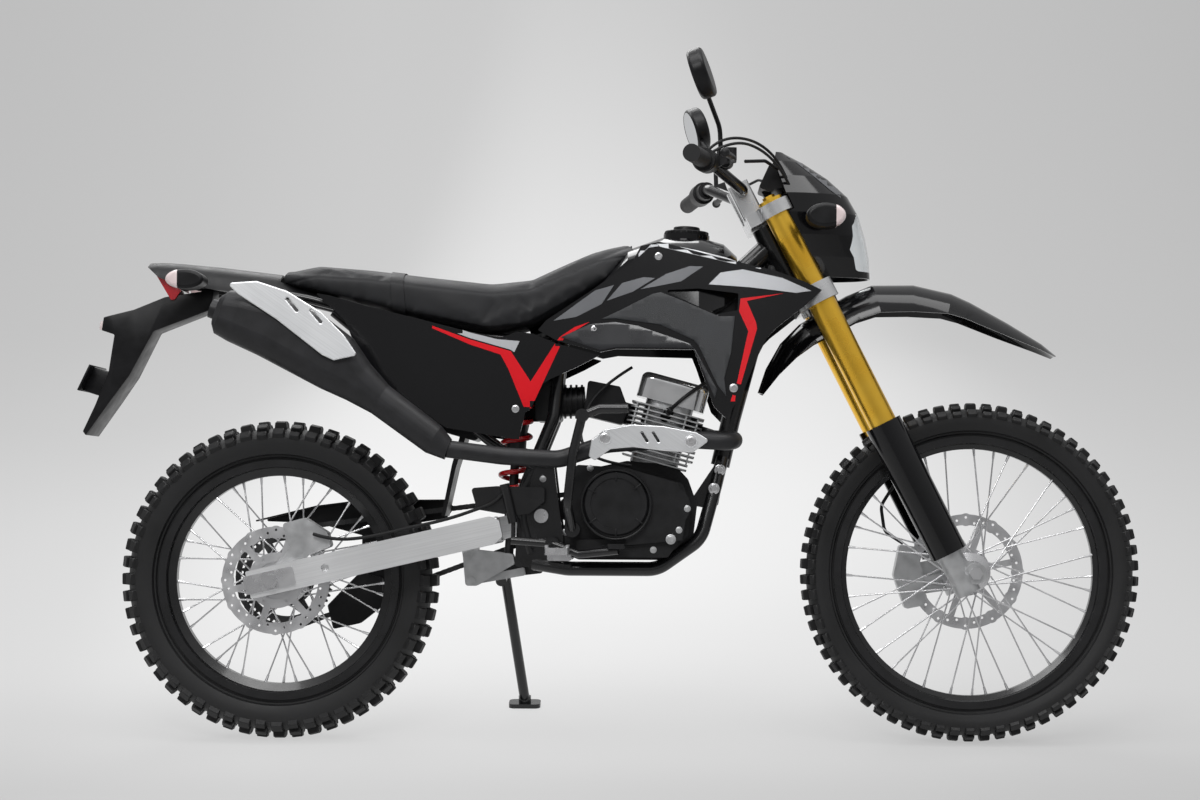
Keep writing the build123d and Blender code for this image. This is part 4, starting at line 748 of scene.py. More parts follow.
finishNodes = {
    "framePaint": ("main_frame", "subframe", "foot_controls", "handlebar", "side_stand"),
    "engineCoat": ("engine_case", "hand_controls"),
    "castAluminium": ("cylinder", "suspension_link", "rear_caliper", "fork_lugs", "front_caliper"),
    "polishedCover": ("head_cover",),
    "blackPlastic": (
        "air_intake", "fuel_cap", "rear_fender", "rear_signals", "plate_bracket", "chain_guards", "mirrors",
        "front_signals", "instrument_panel",
    ),
    "exhaustCoat": ("exhaust",),
    "brushedGuard": ("heat_shields",),
    "brushedArm": ("swingarm",),
    "brightSteel": ("rear_axle", "foot_pegs", "front_axle", "front_hub", "rear_hub"),
    "darkSteel": ("shock_body", "chain", "rear_sprocket"),
    "springPaint": ("shock_spring",),
    "glossPlastic": (
        "fuel_tank", "tank_shrouds", "side_covers", "fork_guards", "headlight_cowl", "front_fender",
    ),
    "saddleVinyl": ("saddle",),
    "redLens": ("tail_light",),
    "goldAnodised": ("fork_tubes",),
    "chrome": ("fork_sliders", "headlight_bowl"),
    "machinedAluminium": ("triple_clamps",),
    "gripRubber": ("grips", "front_cables"),
    "lookingGlass": ("mirror_glass",),
    "clearLens": ("headlight_lens",),
    "tyreRubber": ("front_tyre", "rear_tyre"),
    "rimPaint": ("front_rim", "rear_rim"),
    "turnedFront": ("front_disc",),
    "turnedRear": ("rear_disc",),
}


def paintNodes():
    for name, (base, changes) in variants.items():
        finishes[name] = dict(finishes[base], **changes)
    for name, look in finishes.items():
        makeFinish(name, look)
    for name, look in glasses.items():
        makeGlass(name, look)
    for finish, names in finishNodes.items():
        for name in names:
            slots = frame["nodes"][name].data.materials
            slots.clear()
            slots.append(materials[finish])
    print("finishes:", len(materials))


# wheels
wheels = {
    "front": {
        "x": wheelbase, "z": frontRadius, "radius": 338.0, "width": 86.0, "rim": 272.0, "rimWidth": 50.0,
        "rimDepth": 26.0, "flange": 34.0, "hubY": 30.0, "knob": 11.5, "pitches": 33, "body": "front_wheel",
        "blocks": (
            (0, 11.5, 16, 22), (32.2, 0, 20, 21), (32.2, 30, 14, 21), (0, 48, 17, 22), (32.2, 51, 12, 20),
        ),
    },
    "rear": {
        "x": 0.0, "z": rearRadius, "radius": 316.0, "width": 112.0, "rim": 239.0, "rimWidth": 66.0,
        "rimDepth": 32.0, "flange": 46.0, "hubY": 34.0, "knob": 13.5, "pitches": 28, "body": "rear_wheel",
        "blocks": (
            (0, 10.5, 22, 25), (35.5, 0, 26, 24), (35.5, 28, 19, 24), (0, 43, 21, 25), (35.5, 47, 15, 22),
        ),
    },
}
# bead, wall and shoulder are (height, width) steps from the rim's seat, the full width and the crown's edge
tread = {
    "crown": 0.32, "sink": 0.32, "root": 4.0, "taper": (0.86, 0.84, 1), "edge": 1.3, "steps": 120,
    "bead": ((-4, -4.8), (3, -3.5), (6, 2), (8.5, 2.4)), "wall": ((11, -5.5), (22, -1.5)),
    "shoulder": (-7, 0.3),
}
lacing = {
    "perSide": 18, "sweep": 38.44, "hubOut": 6.4, "crossing": 2.0, "rimY": (7.2, 2.8), "radius": 3.1,
    "length": 15.0, "neck": 0.72, "back": 6.5,
}


def crownOf(radius, rim, half):
    # how far the crown drops to its shoulders, and the radius of its round
    drop = tread["crown"] * (radius - rim)
    return drop, (drop * drop + half * half) / (2 * drop)


def tyreProfile(wheel):
    # section of the casing below its knobs, from the left bead over the crown to the right bead
    radius, rim, seat = wheel["radius"] - wheel["knob"], wheel["rim"], wheel["rimWidth"] / 2
    half = wheel["width"] / 2 - wheel["knob"] * tread["sink"]
    drop, bow = crownOf(radius, rim, half)
    full = asin(half / bow)
    top = [(radius - bow + bow * cos(full * t), bow * sin(full * t)) for t in (1.0, 0.8, 0.6, 0.4, 0.2, 0.0)]
    shoulder = (radius - drop + tread["shoulder"][0], half + tread["shoulder"][1])
    bead = [(rim + r, seat + y) for r, y in tread["bead"]]
    wall = [(rim + r, half + y) for r, y in tread["wall"]]
    left = bead + wall + [shoulder] + top
    return left + [(r, -y) for r, y in reversed(left[:-1])]


def makeKnob(wheel, bow, along, tilt, across, length):
    # one block of the tread, smaller at its top, placed along the tyre and tilted round its crown
    block = cube()
    deep = wheel["knob"] + tread["root"]
    size = Matrix.Diagonal((length * mm, across * mm, deep * mm, 1))
    block.data.transform(Matrix.Translation(spot(0, 0, bow - deep / 2)) @ size)
    edit()
    pick(block, "FACE", lambda middle, item: item.normal.z > 0.9)
    bpy.ops.transform.resize(value=tread["taper"], center_override=spot(0, 0, bow))
    done()
    outward = Matrix.Translation(spot(0, 0, wheel["radius"] - bow)) @ Matrix.Rotation(radians(-tilt), 4, "X")
    turn = Matrix.Rotation(along / wheel["radius"], 4, "Y")
    block.data.transform(Matrix.Translation(spot(wheel["x"], 0, wheel["z"])) @ turn @ outward)
    return block


def makeTyre(side):
    wheel = wheels[side]
    axle = spot(wheel["x"], 0, wheel["z"])
    profile = [axle + spot(0, y, r) for r, y in tyreProfile(wheel)]
    casing = lathe(side + "Casing", profile, axle, tread["steps"])
    bow = crownOf(wheel["radius"], wheel["rim"], wheel["width"] / 2)[1]
    blocks = []
    for along, tilt, across, length in wheel["blocks"]:
        for way in ((1, -1) if tilt else (1,)):
            blocks.append(makeKnob(wheel, bow, along, tilt * way, across, length))
    knobs = joined(side + "Knobs", blocks)
    softEdge(knobs, tread["edge"], 1)
    finishModifiers(knobs)
    rest()
    bpy.ops.object.empty_add(location=(0, 0, 0))
    step = bpy.context.object
    pitch = Matrix.Rotation(2 * pi / wheel["pitches"], 4, "Y")
    step.matrix_world = Matrix.Translation(axle) @ pitch @ Matrix.Translation(-axle)
    ring = knobs.modifiers.new("ring", "ARRAY")
    ring.count = wheel["pitches"]
    ring.use_relative_offset = False
    ring.use_object_offset = True
    ring.offset_object = step
    finishModifiers(knobs)
    discard(step)
    tyre = joined(side + "Tyre", [casing, knobs])
    settle(tyre, wheel["body"], materials["tyreRubber"], 38)
    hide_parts(side + "_tyre")


def makeNipples(side):
    # nipples at the rim, in line with the spokes
    wheel = wheels[side]
    rimInner = wheel["rim"] - wheel["rimDepth"]
    hubOuter = wheel["flange"] + lacing["hubOut"]
    axle = spot(wheel["x"], 0, wheel["z"])
    cap = cylinder(8, lacing["radius"] * mm, lacing["length"] * mm)
    edit()
    pick(cap, "FACE", lambda middle, item: item.normal.z < -0.9)
    bpy.ops.transform.resize(value=(lacing["neck"], lacing["neck"], 1), center_override=(0, 0, 0))
    done()
    copies = []
    step = pi / (lacing["perSide"] / 2)
    for way in (1, -1):
        for i in range(lacing["perSide"]):
            lean = 1 if i % 2 == 0 else -1
            hubAngle = i * step + (0 if way > 0 else step / 2)
            rimAngle = hubAngle + lean * radians(lacing["sweep"])
            hubY = (wheel["hubY"] + lean * lacing["crossing"]) * way
            rimY = lacing["rimY"][i % 2] * way
            start = spot(hubOuter * cos(hubAngle), hubY, hubOuter * sin(hubAngle))
            end = spot(rimInner * cos(rimAngle), rimY, rimInner * sin(rimAngle))
            along = (end - start).normalized()
            turn = along.to_track_quat("Z", "X").to_matrix().to_4x4()
            copies.append(copyOf(cap, Matrix.Translation(axle + end - along * lacing["back"] * mm) @ turn))
    discard(cap)
    nipples = joined(side + "Nipples", copies)
    settle(nipples, wheel["body"], materials["brightSteel"])


# screws
screws = {
    "hex": {"sides": 6, "inset": 0.16, "press": 0.1},
    "socket": {"sides": 24, "inset": 0.42, "press": -0.5},
    "height": 0.8, "washer": 1.5, "washerHeight": 0.22, "washerLift": 0.05, "washerEdge": 0.12,
    "washerDome": 0.06,
}


def makeScrew(kind):
    # a screw head and washer of unit radius that point along Z
    head = screws[kind]
    cap = cylinder(head["sides"], 1.0, screws["height"])
    cap.data.transform(Matrix.Translation((0, 0, screws["height"] / 2)))
    edit()
    pick(cap, "FACE", lambda middle, item: item.normal.z > 0.9)
    bpy.ops.mesh.inset(thickness=head["inset"])
    if kind == "socket":
        bpy.ops.mesh.extrude_region_move(TRANSFORM_OT_translate={"value": (0, 0, head["press"])})
    else:
        bpy.ops.transform.translate(value=(0, 0, head["press"]))
    done()
    washer = cylinder(28, screws["washer"], screws["washerHeight"], screws["washerLift"])
    edit()
    pick(washer, "FACE", lambda middle, item: item.normal.z > 0.9)
    bpy.ops.mesh.inset(thickness=screws["washerEdge"])
    bpy.ops.transform.translate(value=(0, 0, screws["washerDome"]))
    done()
    return joined(kind + "Screw", [cap, washer])


def fastenOn(name, kind, nodes, places, side, finish="brightSteel", lift=0.0):
    # one piece of screws at (x, z, radius), set on the outside of some nodes of the chassis
    screw = makeScrew(kind)
    turn = Vector((0, side, 0)).to_track_quat("Z", "X").to_matrix().to_4x4()
    copies = []
    for x, z, radius in places:
        y = surfaceAt(nodes, x, z, side) + lift * side
        size = Matrix.Diagonal((radius * mm, radius * mm, radius * mm, 1))
        copies.append(copyOf(screw, Matrix.Translation(spot(x, y, z)) @ turn @ size))
    discard(screw)
    settle(joined(name, copies), "chassis", materials[finish])


# bodywork
shroudNodes = ("tank_shrouds", "side_covers", "fuel_tank")
coverNodes = ("side_covers", "tank_shrouds")
transfers = {
    "edgeLine": {"film": "whiteFilm", "on": shroudNodes, "corners": (
        (746, 984), (758, 983), (899, 951), (1003, 923), (998, 919), (894, 940), (753, 974),
    )},
    "edgeTip": {"film": "silverFilm", "on": shroudNodes, "corners": (
        (712, 960), (723, 979), (746, 984), (751, 975), (731, 972), (712, 954),
    )},
    "bandLow": {"film": "greyFilm", "on": shroudNodes, "corners": (
        (545, 830), (627, 889), (664, 899), (640, 862), (590, 837),
    )},
    "bandMiddle": {"film": "greyFilm", "on": shroudNodes, "corners": (
        (650, 868), (680, 903), (722, 914), (744, 912), (702, 886),
    )},
    "bandHigh": {"film": "greyFilm", "on": shroudNodes, "corners": (
        (716, 890), (766, 920), (812, 935), (838, 934), (795, 905), (748, 896),
    )},
    "wedge": {"film": "silverFilm", "on": shroudNodes, "corners": (
        (849, 899), (872, 922), (915, 928), (992, 911), (1048, 886), (1018, 882), (928, 893),
    )},
    "redBlade": {"film": "redFilm", "on": shroudNodes, "corners": (
        (995, 881), (911, 871), (908, 846), (926, 807), (904, 705), (912, 703), (943, 812), (941, 824),
        (923, 866),
    )},
    "redFoot": {"film": "redFilm", "on": shroudNodes, "corners": (
        (896, 683), (902, 681), (899, 658), (891, 666),
    )},
    "redVee": {"film": "redFilm", "on": coverNodes, "corners": (
        (502, 709), (557, 797), (587, 817), (617, 827), (567, 797), (505, 660), (494, 647), (458, 734),
        (443, 761), (384, 780), (309, 812), (309, 817), (384, 790), (463, 768),
    )},
    "silverSweep": {"film": "silverFilm", "on": coverNodes, "corners": (
        (345, 816), (383, 804), (437, 791), (480, 788), (470, 766), (462, 771), (383, 793), (345, 807),
    )},
}
filmThick = 0.35
raisedPanels = {
    "grainedSkin": {"finish": "grainedPanel", "thick": 2.2, "corners": (
        (640, 832), (677, 849), (741, 881), (756, 884), (800, 866), (864, 838), (903, 858), (900, 834),
        (893, 765), (880, 715), (884, 680), (868, 700), (830, 779), (820, 790), (756, 820), (667, 833),
    )},
    "lowerBand": {"finish": "greyPanel", "thick": 1.4, "corners": (
        (560, 797), (617, 822), (667, 826), (712, 818), (812, 783), (824, 770), (866, 694), (862, 676),
        (829, 752), (820, 774), (669, 776), (638, 771),
    )},
    "darkWindow": {"finish": "glossPlastic", "thick": 1.6, "corners": (
        (763, 890), (844, 890), (900, 879), (902, 862), (869, 840), (854, 843), (795, 870),
    )},
}
panelScrews = ((751, 955, 5.0), (626, 813, 4.5), (473, 655, 5.0))
shroudScrew = ((898, 696, 5.5),)
screwLift = 0.4


def dressBodywork():
    for side, hand in ((-1, "Right"), (1, "Left")):
        for name, panel in raisedPanels.items():
            piece = overlay(name + hand, panel["corners"], side, ("tank_shrouds",), panel["thick"], edge=0.8)
            settle(piece, "chassis", materials[panel["finish"]], 30)
        for name, film in transfers.items():
            piece = overlay(name + hand, film["corners"], side, film["on"], filmThick)
            settle(piece, "chassis", materials[film["film"]], 30)
        # the smoked visor pane, grey with a painted sheen
        thick = frontEnd["visorThick"]
        visor = overlay("visorPanel" + hand, frontEnd["visor"], side, ("headlight_cowl",), thick)
        settle(visor, "steering", materials["visorGreySheen"], 30)
        fastenOn("panelScrews" + hand, "socket", shroudNodes, panelScrews, side, lift=screwLift)
        fastenOn("shroudScrew" + hand, "socket", ("tank_shrouds",), shroudScrew, side, lift=screwLift)
    print("bodywork dressed")


# front end
frontEnd = {
    "visor": (
        (987, 1172), (1030, 1160), (1074, 1134), (1116, 1095), (1109, 1077), (1089, 1091), (1019, 1151),
    ),
    "visorThick": 0.8, "frontLens": 1094, "rearLens": -182, "lensSwell": 0.5,
    "bulb": ((0, 0), (7, 1), (9, 10), (8, 20), (4, 26), (0, 28)), "bulbPlace": (1098, 0, 992),
    "cables": (
        ((846, -250, 1145), (872, -236, 1172), (944, -158, 1176), (1000, -84, 1130), (1020, -72, 1062)),
        ((852, -262, 1138), (892, -246, 1164), (954, -150, 1160), (1004, -92, 1112), (1026, -80, 1056)),
    ),
    "cableRadius": 2.8,
}


def dressFrontEnd():
    # the pale ends of the turn signals
    for name, node, body, x, way in (
        ("frontLens", "front_signals", "steering", frontEnd["frontLens"], 1),
        ("rearLens", "rear_signals", "chassis", frontEnd["rearLens"], -1),
    ):
        lens = sliceOf(name, node, (((x, 0, 0), (way, 0, 0)),), frontEnd["lensSwell"])
        settle(lens, body, materials["paleLens"], 30)
    bulb = turned("bulb", frontEnd["bulb"], frontEnd["bulbPlace"], (1, 0, 0), 24)
    settle(bulb, "steering", materials["paleLens"], 40)
    cables = []
    for i, points in enumerate(frontEnd["cables"]):
        cables.append(hose("throttleCable" + str(i), points, frontEnd["cableRadius"]))
    settle(joined("throttleCables", cables), "steering", materials["gripRubber"], 40)
    print("front end dressed")


# drive chain
drive = {
    "pitch": 12.7, "y": 77.0, "rearTeeth": 49, "frontTeeth": 15, "frontX": 575.0, "frontZ": 460.0,
    "links": 126, "plateRadius": 5.3, "innerY": 3.9, "outerY": 5.6, "plateThick": 1.5,
    "pin": (1.9, 7.4), "roller": (4.0, 3.2),
}


def chainPoints():
    # where the pins sit, evenly along the pitch line: round the rear, below, round the front and above
    half = drive["pitch"] / 2
    rear, front = half / sin(pi / drive["rearTeeth"]), half / sin(pi / drive["frontTeeth"])
    dx, dz = drive["frontX"], drive["frontZ"] - rearRadius
    opening = asin((rear - front) / hypot(dx, dz))
    straight = sqrt(dx * dx + dz * dz - (rear - front) ** 2)
    upper, lower = atan2(dz, dx) + pi / 2 - opening, atan2(dz, dx) - pi / 2 + opening
    rearArc, frontArc = rear * (pi + 2 * opening), front * (pi - 2 * opening)
    total = rearArc + frontArc + 2 * straight

    def onRear(angle):
        return rear * cos(angle), rearRadius + rear * sin(angle)

    def onFront(angle):
        return dx + front * cos(angle), drive["frontZ"] + front * sin(angle)

    def onLine(start, end, share):
        return tuple(a + (b - a) * share for a, b in zip(start, end))

    points = []
    for i in range(drive["links"]):
        along = i * total / drive["links"]
        if along < rearArc:
            point = onRear(upper + along / rear)
        elif along < rearArc + straight:
            point = onLine(onRear(lower), onFront(lower), (along - rearArc) / straight)
        elif along < rearArc + straight + frontArc:
            point = onFront(lower + (along - rearArc - straight) / front)
        else:
            share = (along - rearArc - straight - frontArc) / straight
            point = onLine(onFront(upper), onRear(upper), share)
        points.append(point)
    return points


def crossBar(radius, length, x, y, sides):
    # a short cylinder across the machine
    piece = cylinder(sides, radius * mm, length * mm)
    piece.data.transform(Matrix.Translation(spot(x, y, 0)) @ Matrix.Rotation(radians(90), 4, "X"))
    return piece


def makeLink(outer):
    # two side plates, with a pin or a roller at each end
    y = drive["outerY"] if outer else drive["innerY"]
    pieces = []
    for way in (-1, 1):
        plate = crossBar(drive["plateRadius"], drive["plateThick"], 0, y * way, 12)
        edit()
        pick(plate, "VERT", lambda middle, item: middle.x > 0.0001)
        bpy.ops.transform.translate(value=spot(drive["pitch"], 0, 0))
        done()
        pieces.append(plate)
    radius, half = drive["pin"] if outer else drive["roller"]
    for x in (0, drive["pitch"]):
        pieces.append(crossBar(radius, 2 * half, x, 0, 10))
    return joined("link", pieces)


def makeChain():
    points = chainPoints()
    links = []
    patterns = [makeLink(True), makeLink(False)]
    for i, (x, z) in enumerate(points):
        nextX, nextZ = points[(i + 1) % len(points)]
        turn = Matrix.Rotation(-atan2(nextZ - z, nextX - x), 4, "Y")
        links.append(copyOf(patterns[i % 2], Matrix.Translation(spot(x, drive["y"], z)) @ turn))
    for pattern in patterns:
        discard(pattern)
    chain = joined("driveChain", links)
    settle(chain, "chassis", materials["darkSteel"], 35)
    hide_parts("chain")
    print("chain of", len(points), "links")


# saddle
saddle = {
    "rise": ((0, 8), (180, 12), (300, 12), (500, 13), (580, 15), (650, 14), (706, 9)), "low": 0.25,
    "smoothing": (0.5, 6), "voxel": 6.0, "slack": 2.5, "pressure": 4.0, "cap": 6.0, "frames": 20,
    "slice": 12.0,
    "seamDrop": 27.0, "seamDepth": 1.4, "seamWidth": 3.0, "seamFrom": 20.0, "seamOut": 25.0, "seamSlice": 8.0,
    "strapAt": (225, 251), "strapHeight": 900, "strapSlant": 0.1, "strapLift": 0.3, "strapThick": 2.2,
}


def between(steps, value):
    # straight lines through (place, amount) pairs
    for (low, first), (high, last) in zip(steps, steps[1:]):
        if value <= high:
            return first + (last - first) * max(value - low, 0) / (high - low)
    return steps[-1][1]


def heights(piece, length):
    # the lowest and highest point of the piece in slices along the machine
    slices = {}
    for vertex in piece.data.vertices:
        place = round(vertex.co.x / mm / length)
        low, high = slices.get(place, (vertex.co.z, vertex.co.z))
        slices[place] = (min(low, vertex.co.z), max(high, vertex.co.z))
    return slices


def shapeFoam(pad):
    # the foam stands higher along its top than its plain block, with its corners rounded off
    remesh = pad.modifiers.new("even", "REMESH")
    remesh.mode = "VOXEL"
    remesh.voxel_size = saddle["voxel"] * mm
    finishModifiers(pad)
    slices = heights(pad, saddle["slice"])
    for vertex in pad.data.vertices:
        low, high = slices[round(vertex.co.x / mm / saddle["slice"])]
        share = (vertex.co.z - low) / max(high - low, mm) - saddle["low"]
        rise = between(saddle["rise"], vertex.co.x / mm) * mm
        vertex.co.z += rise * max(share, 0) / (1 - saddle["low"])
    choose(pad)
    edit()
    selectAll()
    factor, times = saddle["smoothing"]
    bpy.ops.mesh.vertices_smooth(factor=factor, repeat=times)
    bpy.ops.transform.shrink_fatten(value=-saddle["slack"] * mm)
    done()


def fillCover(pad):
    # the cover is filled from inside, and no point of it moves further than the cap
    before = [vertex.co.copy() for vertex in pad.data.vertices]
    cloth = pad.modifiers.new("fill", "CLOTH")
    cloth.settings.use_pressure = True
    cloth.settings.uniform_pressure_force = saddle["pressure"]
    cloth.settings.effector_weights.gravity = 0
    for step in range(1, saddle["frames"] + 1):
        bpy.context.scene.frame_set(step)
    finishModifiers(pad)
    bpy.context.scene.frame_set(1)
    for vertex, start in zip(pad.data.vertices, before):
        moved = vertex.co - start
        if moved.length > saddle["cap"] * mm:
            vertex.co = start + moved.normalized() * saddle["cap"] * mm


def sewSeam(pad):
    # a sewn line runs along each side, below the edge of the top
    slices = heights(pad, saddle["seamSlice"])
    for vertex in pad.data.vertices:
        seam = slices[round(vertex.co.x / mm / saddle["seamSlice"])][1] - saddle["seamDrop"] * mm
        near = abs(vertex.co.z - seam) / (saddle["seamWidth"] * mm)
        beside = abs(vertex.co.y) > saddle["seamOut"] * mm and vertex.co.x > saddle["seamFrom"] * mm
        if near < 1 and beside:
            way = 1 if vertex.co.y > 0 else -1
            vertex.co.y -= way * saddle["seamDepth"] * mm * (1 - near * near)


def cutStrap(pad):
    # the strap across the saddle, thickened from a band of its cover
    strap = copyOf(pad, Matrix.Identity(4))
    strap.name = "saddleStrap"
    choose(strap)
    edit()
    for x, way in zip(saddle["strapAt"], (1, -1)):
        cutAt(spot(x, 0, saddle["strapHeight"]), (way, 0, saddle["strapSlant"] * way), clear_inner=True)
    selectAll()
    bpy.ops.transform.shrink_fatten(value=saddle["strapLift"] * mm)
    done()
    wall = strap.modifiers.new("wall", "SOLIDIFY")
    wall.thickness = saddle["strapThick"] * mm
    wall.offset = 1
    softEdge(strap, 0.7, 2, 50)
    return strap


def makeSaddle():
    pad = sliceOf("saddlePad", "saddle", (), 0)
    shapeFoam(pad)
    fillCover(pad)
    finer = pad.modifiers.new("finer", "SUBSURF")
    finer.levels = finer.render_levels = 1
    finishModifiers(pad)
    sewSeam(pad)
    strap = cutStrap(pad)
    settle(pad, "chassis", materials["saddleVinyl"], 60)
    settle(strap, "chassis", materials["saddleVinyl"], 50)
    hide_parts("saddle")
    print("saddle padded")


# tail
tail = {
    "arm": (
        (-133, 892), (-229, 876), (-288, 850), (-346, 834), (-350, 808), (-325, 800), (-336, 726),
        (-362, 660), (-386, 608), (-380, 600), (-296, 719), (-250, 808), (-137, 852),
    ),
    "armWidths": ((-400, 58), (-330, 56), (-230, 38), (-120, 32)), "armCuts": (-180, -230, -280, -330),
    "lamp": ((-342, 833), (-360, 828), (-362, 812), (-342, 806)), "lampHalf": 24,
    "block": ((-372, 738), (-326, 722), (-342, 674), (-392, 690)), "blockHalf": 36,
    "plate": (-381, 0, 714), "plateLean": 25.5, "plateSize": (4, 140, 56), "glowHalf": 27, "glowLow": 911,
    "glowSwell": 0.5,
}


def dressTail():
    widest = tail["armWidths"][0][1]
    arm = slabOf("plateArm", tail["arm"], -widest, widest)
    # seen from above the arm is slim at the tail and wide at the plate
    edit()
    for x in tail["armCuts"]:
        cutAt(spot(x, 0, 0), (1, 0, 0))
    done()
    for vertex in arm.data.vertices:
        wide = between(tail["armWidths"], vertex.co.x / mm)
        vertex.co.y = (wide if vertex.co.y > 0 else -wide) * mm
    softEdge(arm, 2.0, 2, 40)
    finishModifiers(arm)
    lamp = slabOf("plateLamp", tail["lamp"], -tail["lampHalf"], tail["lampHalf"])
    softEdge(lamp, 2.0, 2, 40)
    block = slabOf("plateBlock", tail["block"], -tail["blockHalf"], tail["blockHalf"])
    softEdge(block, 2.5, 2, 40)
    finishModifiers(block)
    plate = blockOf("plateFlange", tail["plate"], tail["plateSize"], tail["plateLean"], 1.0)
    bracket = joined("plateCarrier", [arm, block, plate])
    settle(bracket, "chassis", materials["blackPlastic"], 30)
    settle(lamp, "chassis", materials["paleLens"], 30)
    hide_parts("plate_bracket")
    # the pale middle of the tail light
    cuts = [((0, -way * tail["glowHalf"], 0), (0, way, 0)) for way in (1, -1)]
    cuts.append(((0, 0, tail["glowLow"]), (0, 0, 1)))
    glow = sliceOf("tailGlow", "tail_light", cuts, tail["glowSwell"])
    settle(glow, "chassis", materials["paleLens"], 30)
    print("tail dressed")


# engine covers
engine = {
    "cover": (671, 469), "faceAbove": 55.0, "ringRadius": 68.0,
    "ringSection": ((-3, 4), (-2.4, -1.6), (-0.6, -2.2), (1.2, -1.2), (2, 4), (-3, 4)),
    "marks": (90, 40, -35, -90, -145, 150), "markMiddle": 55.0, "markSize": (16.0, 3.0, 3.2),
    "markLift": -0.4,
    "ribMiddle": 673, "ribTop": 392, "ribPitch": 4.2, "ribShift": 2, "ribSize": (66, 2.4, 1.8), "ribs": 4,
    "caseBolts": (
        (618, 541, 4.4), (810, 462, 4.4), (794, 420, 4.4), (778, 402, 6.6), (744, 381, 4.4), (569, 414, 4.4),
        (525, 519, 4.4),
    ),
    "frameBolts": ((875, 539, 7.5), (863, 502, 7.5)), "shieldBolts": ((650, 597, 7), (816, 592, 7)),
    "cup": 13.0, "cupBeside": 9.0, "cupSection": (
        (-3.4, 0.4), (-2.6, 1.6), (-0.6, 1.7), (0, 0.2), (0, -2.5), (-3.4, -2.5), (-3.4, 0.4),
    ),
}


def dressEngine():
    # the ring, marks and ribs of the clutch cover
    x, z = engine["cover"]
    case = ("engine_case",)
    face = surfaceAt(case, x, z + engine["faceAbove"], -1)
    section = [spot(x, face + y, z + engine["ringRadius"] + r) for r, y in engine["ringSection"]]
    relief = [lathe("coverRing", section, spot(x, 0, z), 72)]
    for angle in engine["marks"]:
        mark = blockOf("mark", (engine["markMiddle"], 0, 0), engine["markSize"], 0, 0.8)
        middle = Matrix.Translation(spot(x, face + engine["markLift"], z))
        mark.data.transform(middle @ Matrix.Rotation(-radians(angle), 4, "Y"))
        relief.append(mark)
    for i in range(engine["ribs"]):
        height = engine["ribTop"] - i * engine["ribPitch"]
        y = surfaceAt(case, engine["ribMiddle"], height, -1)
        place = (engine["ribMiddle"] + i * engine["ribShift"], y, height)
        relief.append(blockOf("rib", place, engine["ribSize"], 0, 0.5))
    settle(joined("coverRelief", relief), "chassis", materials["engineCoat"], 35)
    around = ("engine_case", "main_frame", "cylinder")
    fastenOn("caseBolts", "hex", around, engine["caseBolts"], -1, "castAluminium")
    fastenOn("frameBolts", "hex", around, engine["frameBolts"], -1)
    # the bolts of the exhaust guard sit in cups
    guard = ("heat_shields",)
    cups = []
    section = [(engine["cup"] + r, h) for r, h in engine["cupSection"]]
    for x, z, _ in engine["shieldBolts"]:
        y = surfaceAt(guard, x + engine["cupBeside"], z, -1)
        cups.append(turned("cup", section, (x, y, z), (0, -1, 0), 36))
    settle(joined("shieldCups", cups), "chassis", materials["brushedGuard"], 40)
    fastenOn("shieldBolts", "socket", guard, engine["shieldBolts"], -1, lift=0.2)
    print("engine dressed")


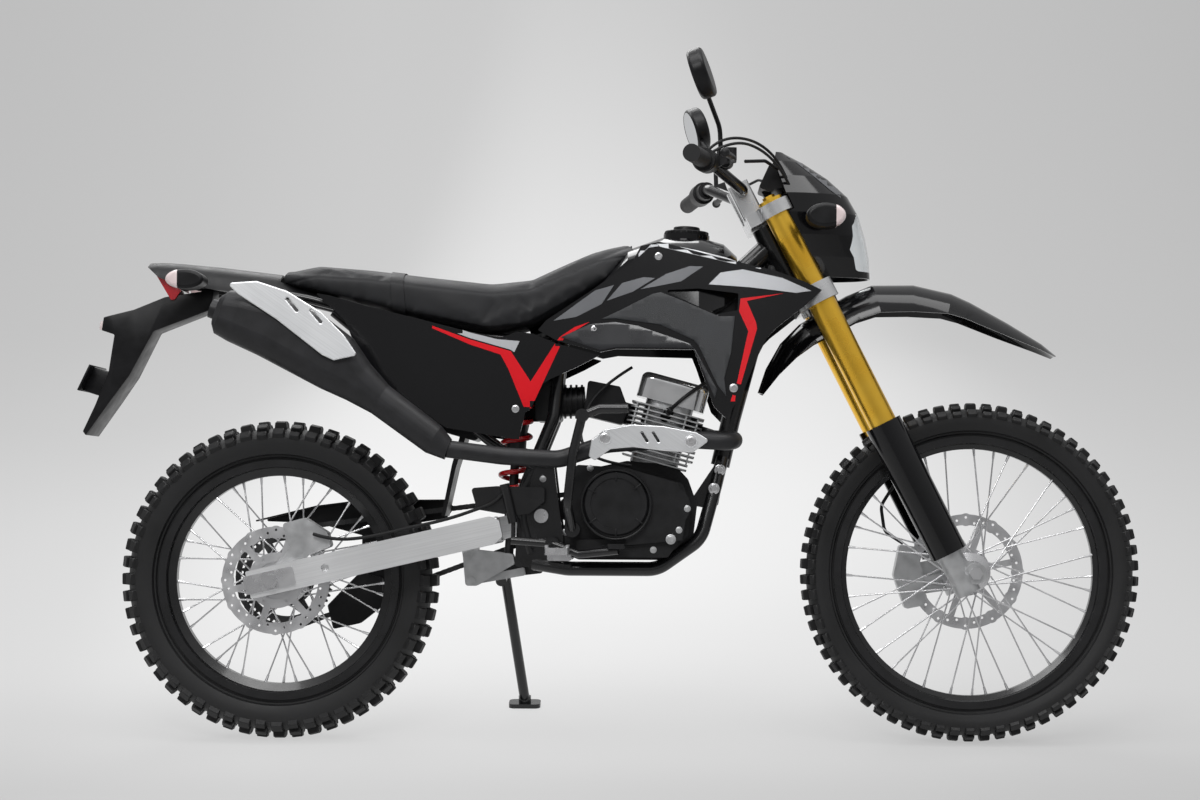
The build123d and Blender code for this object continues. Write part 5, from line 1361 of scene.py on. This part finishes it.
# spark plug lead, hoses and filler cap
ignition = {
    "cap": ((763.5, -47, 640.7), (774.5, -72, 653.7), 9.5, 20, 2.0),
    "boot": ((772, -68, 651), (777, -82, 658), 5.6, 16, 1.0),
    "lead": (
        (772, -70, 652), (783.5, -92, 664.7), (820, -90, 694), (850, -60, 714), (868, -30, 722),
        (884, 0, 726),
    ),
    "leadRadius": 3.6, "coil": ((866, 702), (872, 746), (912, 746), (904, 702)), "coilHalf": 17,
}
hoses = {
    "rearBrakeHose": {"radius": 3.4, "points": (
        (78, -104, 408), (110, -113, 398), (170, -113, 399), (260, -113, 420), (340, -113, 438),
        (392, -112, 456), (440, -112, 474), (456, -113, 500),
    )},
    "clutchCable": {"radius": 3.0, "points": (
        (700, -112, 545), (640, -118, 552), (600, -100, 585), (600, -60, 640), (640, -44, 705),
        (700, -40, 742),
    )},
}
fillerCap = {
    "place": (806, 0, 1003), "axis": (0.035, 0, 1), "section": (
        (0, 0), (43, 0), (43.5, 2), (43.5, 11), (42, 12.5), (29, 13), (27, 14.5), (26, 20), (24, 21.5),
        (0, 22),
    ),
    "ribs": 24, "ribSize": (2.4, 3.0, 8), "ribPlace": (43.2, 0, 6.5),
}


def makeIgnition():
    cap, boot = bar("plugCap", *ignition["cap"]), bar("plugBoot", *ignition["boot"])
    lead = hose("plugLead", ignition["lead"], ignition["leadRadius"])
    coil = slabOf("coil", ignition["coil"], -ignition["coilHalf"], ignition["coilHalf"])
    softEdge(coil, 2.5, 2)
    finishModifiers(coil)
    whole = joined("ignition", [cap, boot, lead, coil])
    settle(whole, "chassis", materials["gripRubber"], 35)


def makeHoses():
    lines = [hose(name, line["points"], line["radius"]) for name, line in hoses.items()]
    settle(joined("chassisHoses", lines), "chassis", materials["gripRubber"], 40)


def makeFillerCap():
    # a low ribbed skirt with a raised grip
    place = fillerCap["place"]
    pieces = [turned("fillerCap", fillerCap["section"], place, fillerCap["axis"], 60)]
    for i in range(fillerCap["ribs"]):
        rib = blockOf("capRib", fillerCap["ribPlace"], fillerCap["ribSize"], 0, 0.6)
        turn = Matrix.Rotation(i * 2 * pi / fillerCap["ribs"], 4, "Z")
        rib.data.transform(Matrix.Translation(spot(*place)) @ turn)
        pieces.append(rib)
    cap = joined("fillerCap", pieces)
    settle(cap, "chassis", materials["blackPlastic"], 30)
    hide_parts("fuel_cap")
    print("hoses and filler cap made")


bpy.context.scene.view_settings.view_transform = "Standard"
makeCamera()
makeBackdrop()
makeWorld()
for light in ("topBox", "frontBox", "backBox"):
    makeLight(light)
print("studio set")
paintNodes()
for side in wheels:
    makeTyre(side)
    makeNipples(side)
print("wheels finished")
makeChain()
makeSaddle()
dressBodywork()
dressFrontEnd()
dressTail()
dressEngine()
makeIgnition()
makeHoses()
makeFillerCap()
